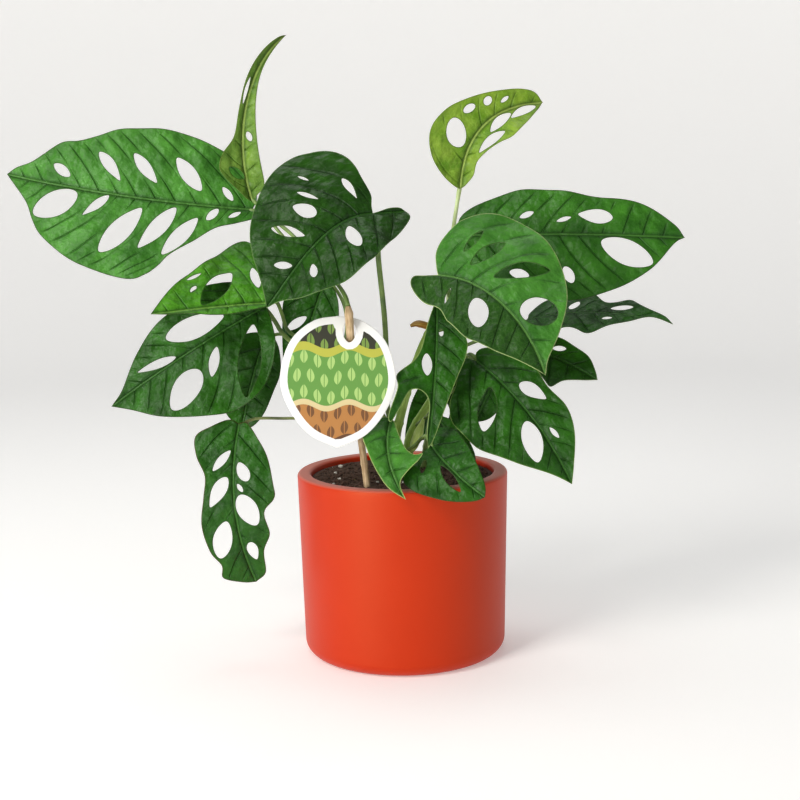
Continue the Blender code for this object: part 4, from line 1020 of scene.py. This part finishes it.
# The leaves of the back right vine: a young one held high, a broad one behind it, and smaller ones.
grow_leaf(
    "leaf_young_right",
    rib=[(42, 16, 309), (55, 12, 345), (97, 22, 362)],
    face=[(0.1, -1, 0.1), (0.2, -0.9, 0.6)], fold=(12, 16), curl=(2, 4), ripple=0.5,
    left=[(-1, 3), (5, 13), (14, 23.5), (24, 29), (34, 26.5), (46, 20), (62, 14), (80, 9)],
    right=[(0, -3), (7, -8), (16, -8.5), (26, -12), (40, -17), (54, -21), (68, -17), (79, -8)],
    holes=[(28, 12, 18, 12, 55), (43, 14.5, 7.5, 5, 160), (54, 11, 6, 5, 40),
           (52.5, -5.6, 21, 7.5, 8, 0.15), (37, -11, 28, 6.5, 167, -0.2), (70.5, -5.5, 19, 7, 14, 0.2),
           (63.5, 7, 6, 2.6, 20)],
    seat=("vine_back_right", None), radius=1.3,
    stalk=[(33, 21, 235), (34, 22, 262), (37.7, 21, 285), (40.5, 19, 302)],
    skin=PALE, stalk_skin=("#9DB070", "#C4D49C"), slot="young_leaf",
)
grow_leaf(
    "leaf_right_back",
    rib=[(44, 30, 276), (107, 12, 276), (190, 14, 272)],
    face=[(0.1, -1, 0.3), (0.1, -1, 0.45)], fold=(8, 4), curl=(-3, -3), ripple=0.35,
    left=[(-4, 7), (0, 15), (14, 22.5), (37, 30), (64, 30), (92, 25.5), (118, 23), (141, 9.5)],
    right=[(-3, -9), (6, -20), (30, -34), (52, -43), (75, -45), (100, -38), (124, -24), (141, -5)],
    holes=[(43, 13, 10, 4, 22), (89, 12.5, 23, 9.5, 175, -0.3), (68, 10, 10, 3, 17),
           (109.5, -12, 36, 17.5, 156), (72, -28, 12, 7, 118), (40, -27.5, 13, 6.5, 168)],
    seat=("vine_back_right", 205), radius=1.6,
    stalk=[(37, 29, 222), (39, 34, 252), (40, 36, 270)],
    skin=BROAD,
)
grow_leaf(
    "leaf_right_edge_on",
    rib=[(89, 31, 219), (135, 11, 224), (179, -6, 216)],
    face=[(0, -0.42, 1), (0, -0.42, 1)], fold=(0, 0), curl=(0, 0), ripple=1.2,
    left=[(-2, 8), (3, 18), (14, 23), (27, 25), (40, 23), (50, 15), (63, 20), (73, 15), (89, 9)],
    right=[(-2, -9), (4, -20), (16, -27), (28, -29), (38, -27), (47, -28), (58, -23), (71, -10),
           (83, 2)],
    holes=[(29, 10, 12, 7, 79), (62, 8, 15, 7, 22), (56, -9, 7, 4, 15)],
    seat=("vine_back_right", 196), radius=1.2,
    stalk=[(50, 24, 204), (66, 33, 208), (82, 34, 215)],
    skin=LOWER,
)
grow_leaf(
    "leaf_right_small",
    rib=[(91, 16, 198), (110, 2, 192), (129, -10, 181)],
    face=[(0.1, -0.8, 0.6), (0.1, -0.8, 0.6)], fold=(0, 0), curl=(-5, -5), ripple=0.8,
    left=[(-1, 6), (2, 14), (9, 17), (22, 15), (34, 12), (44, 5)],
    right=[(0, -7), (8, -13), (19, -19), (27, -22), (32, -14), (44, -5)],
    holes=[(14, 8, 9, 5, 22)],
    seat=("vine_back_right", 188), radius=1.1,
    stalk=[(48, 20, 194), (68, 23, 196), (85, 20, 198)],
    skin=DARK | dict(edge="#7E9468"),
)
grow_leaf(
    "leaf_low_back",
    rib=[(40, 42, 178), (24, 40, 158), (2, 46, 132)],
    face=[(0.2, -1, 0.3), (0.1, -1, 0.2)], fold=(6, 6), curl=(-3, -3), ripple=0.5,
    left=[(-3, 6), (5, 13), (20, 17), (38, 14), (52, 7)],
    right=[(-3, -7), (5, -15), (18, -18), (34, -15), (50, -7)],
    holes=[(24, 8, 13, 5, 40)],
    seat=("vine_back_right", 168), radius=1.1,
    stalk=[(31, 28, 180), (38, 37, 187), (43, 42, 185)],
    skin=DARK,
)
grow_leaf(
    "leaf_low_right",
    rib=[(66, 22, 184), (58, 16, 168), (50, 18, 150)],
    face=[(0.2, -1, 0.3), (0.1, -1, 0.2)], fold=(6, 6), curl=(-3, -3), ripple=0.4,
    left=[(-2, 5), (8, 11), (20, 12), (32, 8)],
    right=[(-2, -5), (8, -11), (20, -12), (32, -8)],
    holes=[(14, 6, 9, 3.5, 40)],
    seat=("vine_back_right", 160), radius=1,
    stalk=[(42, 30, 176), (56, 32, 188), (65, 28, 190)],
    skin=DARK,
)


# The label: a rounded plate of coated card with a slot near its top, hung on the woody vine.
# It is printed with plain rows of leaf shapes inside a white border.
LABEL_SIDE = [(0, 0), (3, 15), (14, 28.5), (30, 35), (46, 35.5), (62, 28.5), (75, 17), (83, 0)]
LABEL_THICK = 0.7
LABEL_EDGE_STEP = 1.5
LABEL_STEP = 4.0
LABEL_TOP = (-38.0, -48.0, 229.5)
LABEL_DOWN = (-0.03, -0.045, -1.0)
LABEL_FACE = (0.0, -1.0, 0.04)
SLOT = (9.7, 7.0, 13.5, 8.2, 0)
BORDER = 4.6
WAVE_TURN, WAVE_HEIGHT = 0.22, 2.2
LEAF_ROW, LEAF_PITCH = 11.0, 8.5
LEAF_HALF, LEAF_TAPER = 0.28, -1.6
LEAF_SPLIT = 0.03
PRINT_LENGTH = 90.0
BAND_STARTS = (0.0, 0.20, 0.26, 0.60, 0.64, 0.84)
BAND_GROUND = ("#2A2A1C", "#A9A93E", "#5C8C3C", "#C9B98A", "#A8733A", "#5B3A22")
BAND_MARK = ("#6E8A3C", "#A9A93E", "#9FBE6E", "#C9B98A", "#6A4424", "#B07E46")


def print_bands(ramp, hex_colours):
    """Sets a colour ramp to flat bands, each from its share of the label's length."""
    ramp.interpolation = "CONSTANT"
    for stop, (start, hex_colour) in enumerate(zip(BAND_STARTS, hex_colours)):
        element = ramp.elements[stop] if stop < 2 else ramp.elements.new(start)
        element.position = start
        element.color = linear(hex_colour)


def label_mesh():
    """A flat sheet: the top point, plus the distance down and the distance aside along two directions."""
    right = smooth_line([(along, -out) for along, out in LABEL_SIDE], LABEL_EDGE_STEP)[:-1]
    left = smooth_line(LABEL_SIDE, LABEL_EDGE_STEP)[:0:-1]
    points, triangles, gaps = flat_sheet(np.vstack([right, left]), [oval(*SLOT)], LABEL_STEP)
    rim = gaps.min(0)
    down = unit(LABEL_DOWN)
    face = unit(np.array(LABEL_FACE) - np.dot(LABEL_FACE, down) * down)
    aside = np.cross(face, down)

    def place(at, out, above):
        above = np.reshape(above, (-1, 1)) * face
        return np.array(LABEL_TOP) + np.outer(at, down) + np.outer(out, aside) + above

    lie = np.stack([points[:, 0], points[:, 1], 0 * rim], axis=1)
    half_thick = np.full(len(points), LABEL_THICK / 2)
    return closed_sheet("label_plate", points, triangles, place, 0 * rim, half_thick, lie=lie, rim=rim)


def printed_card():
    """Coated card: smooth and slightly glossy, printed with wavy bands and staggered rows of leaf shapes.

    The bands and rows follow the distance down plus a sine of the distance aside. Within a row each leaf
    narrows by the square of the height from its middle, and a thin line of the ground splits it.
    """
    made, tree = new_material("printed card")
    lie = add(tree, "Attribute", attribute_name="lie", output="Vector")
    split = add(tree, "SeparateXYZ", {"Vector": lie}).node.outputs
    found = {"down": split["X"], "aside": split["Y"]}
    for label in ("rim", "under"):
        found[label] = add(tree, "Attribute", attribute_name=label, output="Fac")
    for result, operation, *inputs in (
        ("wave", "MULTIPLY", "aside", WAVE_TURN),
        ("wave", "SINE", "wave"),
        ("wave", "MULTIPLY_ADD", "wave", WAVE_HEIGHT, "down"),
        ("row", "DIVIDE", "wave", LEAF_ROW),
        ("step", "FLOOR", "row"),
        ("up", "FRACT", "row"),
        ("up", "SUBTRACT", "up", 0.5),
        ("beside", "MULTIPLY", "step", 0.5),
        ("beside", "MULTIPLY_ADD", "aside", 1 / LEAF_PITCH, "beside"),
        ("beside", "FRACT", "beside"),
        ("beside", "SUBTRACT", "beside", 0.5),
        ("spine", "ABSOLUTE", "beside"),
        ("taper", "MULTIPLY", "up", "up"),
        ("taper", "MULTIPLY_ADD", "taper", LEAF_TAPER, LEAF_HALF),
        ("leaf", "LESS_THAN", "spine", "taper"),
        ("whole", "GREATER_THAN", "spine", LEAF_SPLIT),
        ("leaf", "MULTIPLY", "leaf", "whole"),
        ("band", "MULTIPLY", "wave", 1 / PRINT_LENGTH),
        ("border", "LESS_THAN", "rim", BORDER),
    ):
        values = {socket: found.get(value, value) for socket, value in enumerate(inputs)}
        found[result] = add(tree, "Math", values, operation=operation)
    for result, hex_colours in (("ground", BAND_GROUND), ("mark", BAND_MARK)):
        found[result] = add(tree, "ValToRGB", {"Fac": found["band"]}, output="Color")
        print_bands(found[result].node.color_ramp, hex_colours)
    colour = found["ground"]
    layers = dict(leaf=found["mark"], border=linear("#E4E4E1"), under=linear("#DFDED9"))
    for factor, over in layers.items():
        colour = add(tree, "Mix", {"Factor": found[factor], "A": colour, "B": over}, data_type="RGBA")
    surface = {"Base Color": colour, "Roughness": 0.35, "Specular IOR Level": 0.4}
    return finished(made, add(tree, "BsdfPrincipled", surface))


show(label_mesh(), printed_card(), "label", "label")


# The studio: a pale paper floor that curves up all round, two soft lights on the left, a weak one on the
# right and one above. The camera stands in front, level with the upper leaves.
STAGE_RINGS = (1000.0, 400.0, 1.0)
STAGE_FLAT = 1600.0
STAGE_CURVE = 900.0
STAGE_SIDES = 96
STAGE_STEPS = 24
# The lights' places and sizes, and the point they look at, are in metres.
AIM = (0, 0, 0.2)
LIGHTS = {
    "key_light": dict(place=(-1.0, -1.1, 1.35), size=0.6, power=18.0, colour="#FFFDF8"),
    "window_light": dict(place=(-1.25, -1.45, 0.2), size=0.5, power=22.0, colour="#FFFDFA"),
    "fill_light": dict(place=(1.3, -1.0, 0.6), size=1.2, power=0.8, colour="#F8FAFF"),
    "top_light": dict(place=(-0.1, 0.4, 1.7), size=1.0, power=8.0, colour="#FFFFFF"),
}
AIR_GLOW = 0.2
CAMERA_PLACE = (0.0, -873.1, 295.7)
CAMERA_TURNS = ((0.044, "Z"), (81.738, "X"), (-1.078, "Z"))
CAMERA_LENS = 59.79
SENSOR = 36.0


def stage_surface():
    """A turned profile: a quarter arc that starts upright, then flat to the middle."""
    curve = arc((STAGE_FLAT, STAGE_CURVE), STAGE_CURVE, 0, -90, STAGE_STEPS)
    profile = np.vstack([curve, [(radius, 0.0) for radius in STAGE_RINGS]])
    return ring_mesh("studio_floor", turned(profile, STAGE_SIDES), capped=1)


def matt_paper():
    """Seamless backdrop paper: matt and almost white, with a little glow so that it stays pale."""
    made, tree = new_material("backdrop paper")
    return finished(made, add(tree, "BsdfPrincipled", {
        "Base Color": linear("#F4F3F1"), "Roughness": 0.9,
        "Emission Color": linear("#FFFFFF"), "Emission Strength": 0.25,
    }))


def soft_light(name, place, size, power, colour):
    """A square area light, turned by its tilt from straight down and its bearing to look at the plant."""
    lamp = bpy.data.lights.new(name, "AREA")
    lamp.size = size
    lamp.energy = power
    lamp.color = linear(colour)[:3]
    made = bpy.data.objects.new(name, lamp)
    bpy.context.scene.collection.objects.link(made)
    made.location = place
    aim = -unit(np.array(place) - AIM)
    made.rotation_euler = (math.acos(-aim[2]), 0, math.atan2(-aim[0], aim[1]))


floor_mesh = stage_surface()
floor_mesh.materials.append(matt_paper())
floor = bpy.data.objects.new("studio_floor", floor_mesh)
bpy.context.scene.collection.objects.link(floor)
for light_name, light in LIGHTS.items():
    soft_light(light_name, **light)
world = bpy.data.worlds.new("studio air")
world.use_nodes = True
world.node_tree.nodes["Background"].inputs["Color"].default_value = linear("#FFFFFF")
world.node_tree.nodes["Background"].inputs["Strength"].default_value = AIR_GLOW
bpy.context.scene.world = world
bpy.context.scene.view_settings.view_transform = "Standard"

lens = bpy.data.cameras.new("camera")
lens.lens = CAMERA_LENS
lens.sensor_width = SENSOR
camera = bpy.data.objects.new("camera", lens)
bpy.context.scene.collection.objects.link(camera)
camera.rotation_mode = "QUATERNION"
camera.location = np.array(CAMERA_PLACE) * MM
turn = Matrix.Identity(4)
for degrees, axis in CAMERA_TURNS:
    turn = turn @ Matrix.Rotation(math.radians(degrees), 4, axis)
camera.rotation_quaternion = turn.to_quaternion()
bpy.context.scene.camera = camera
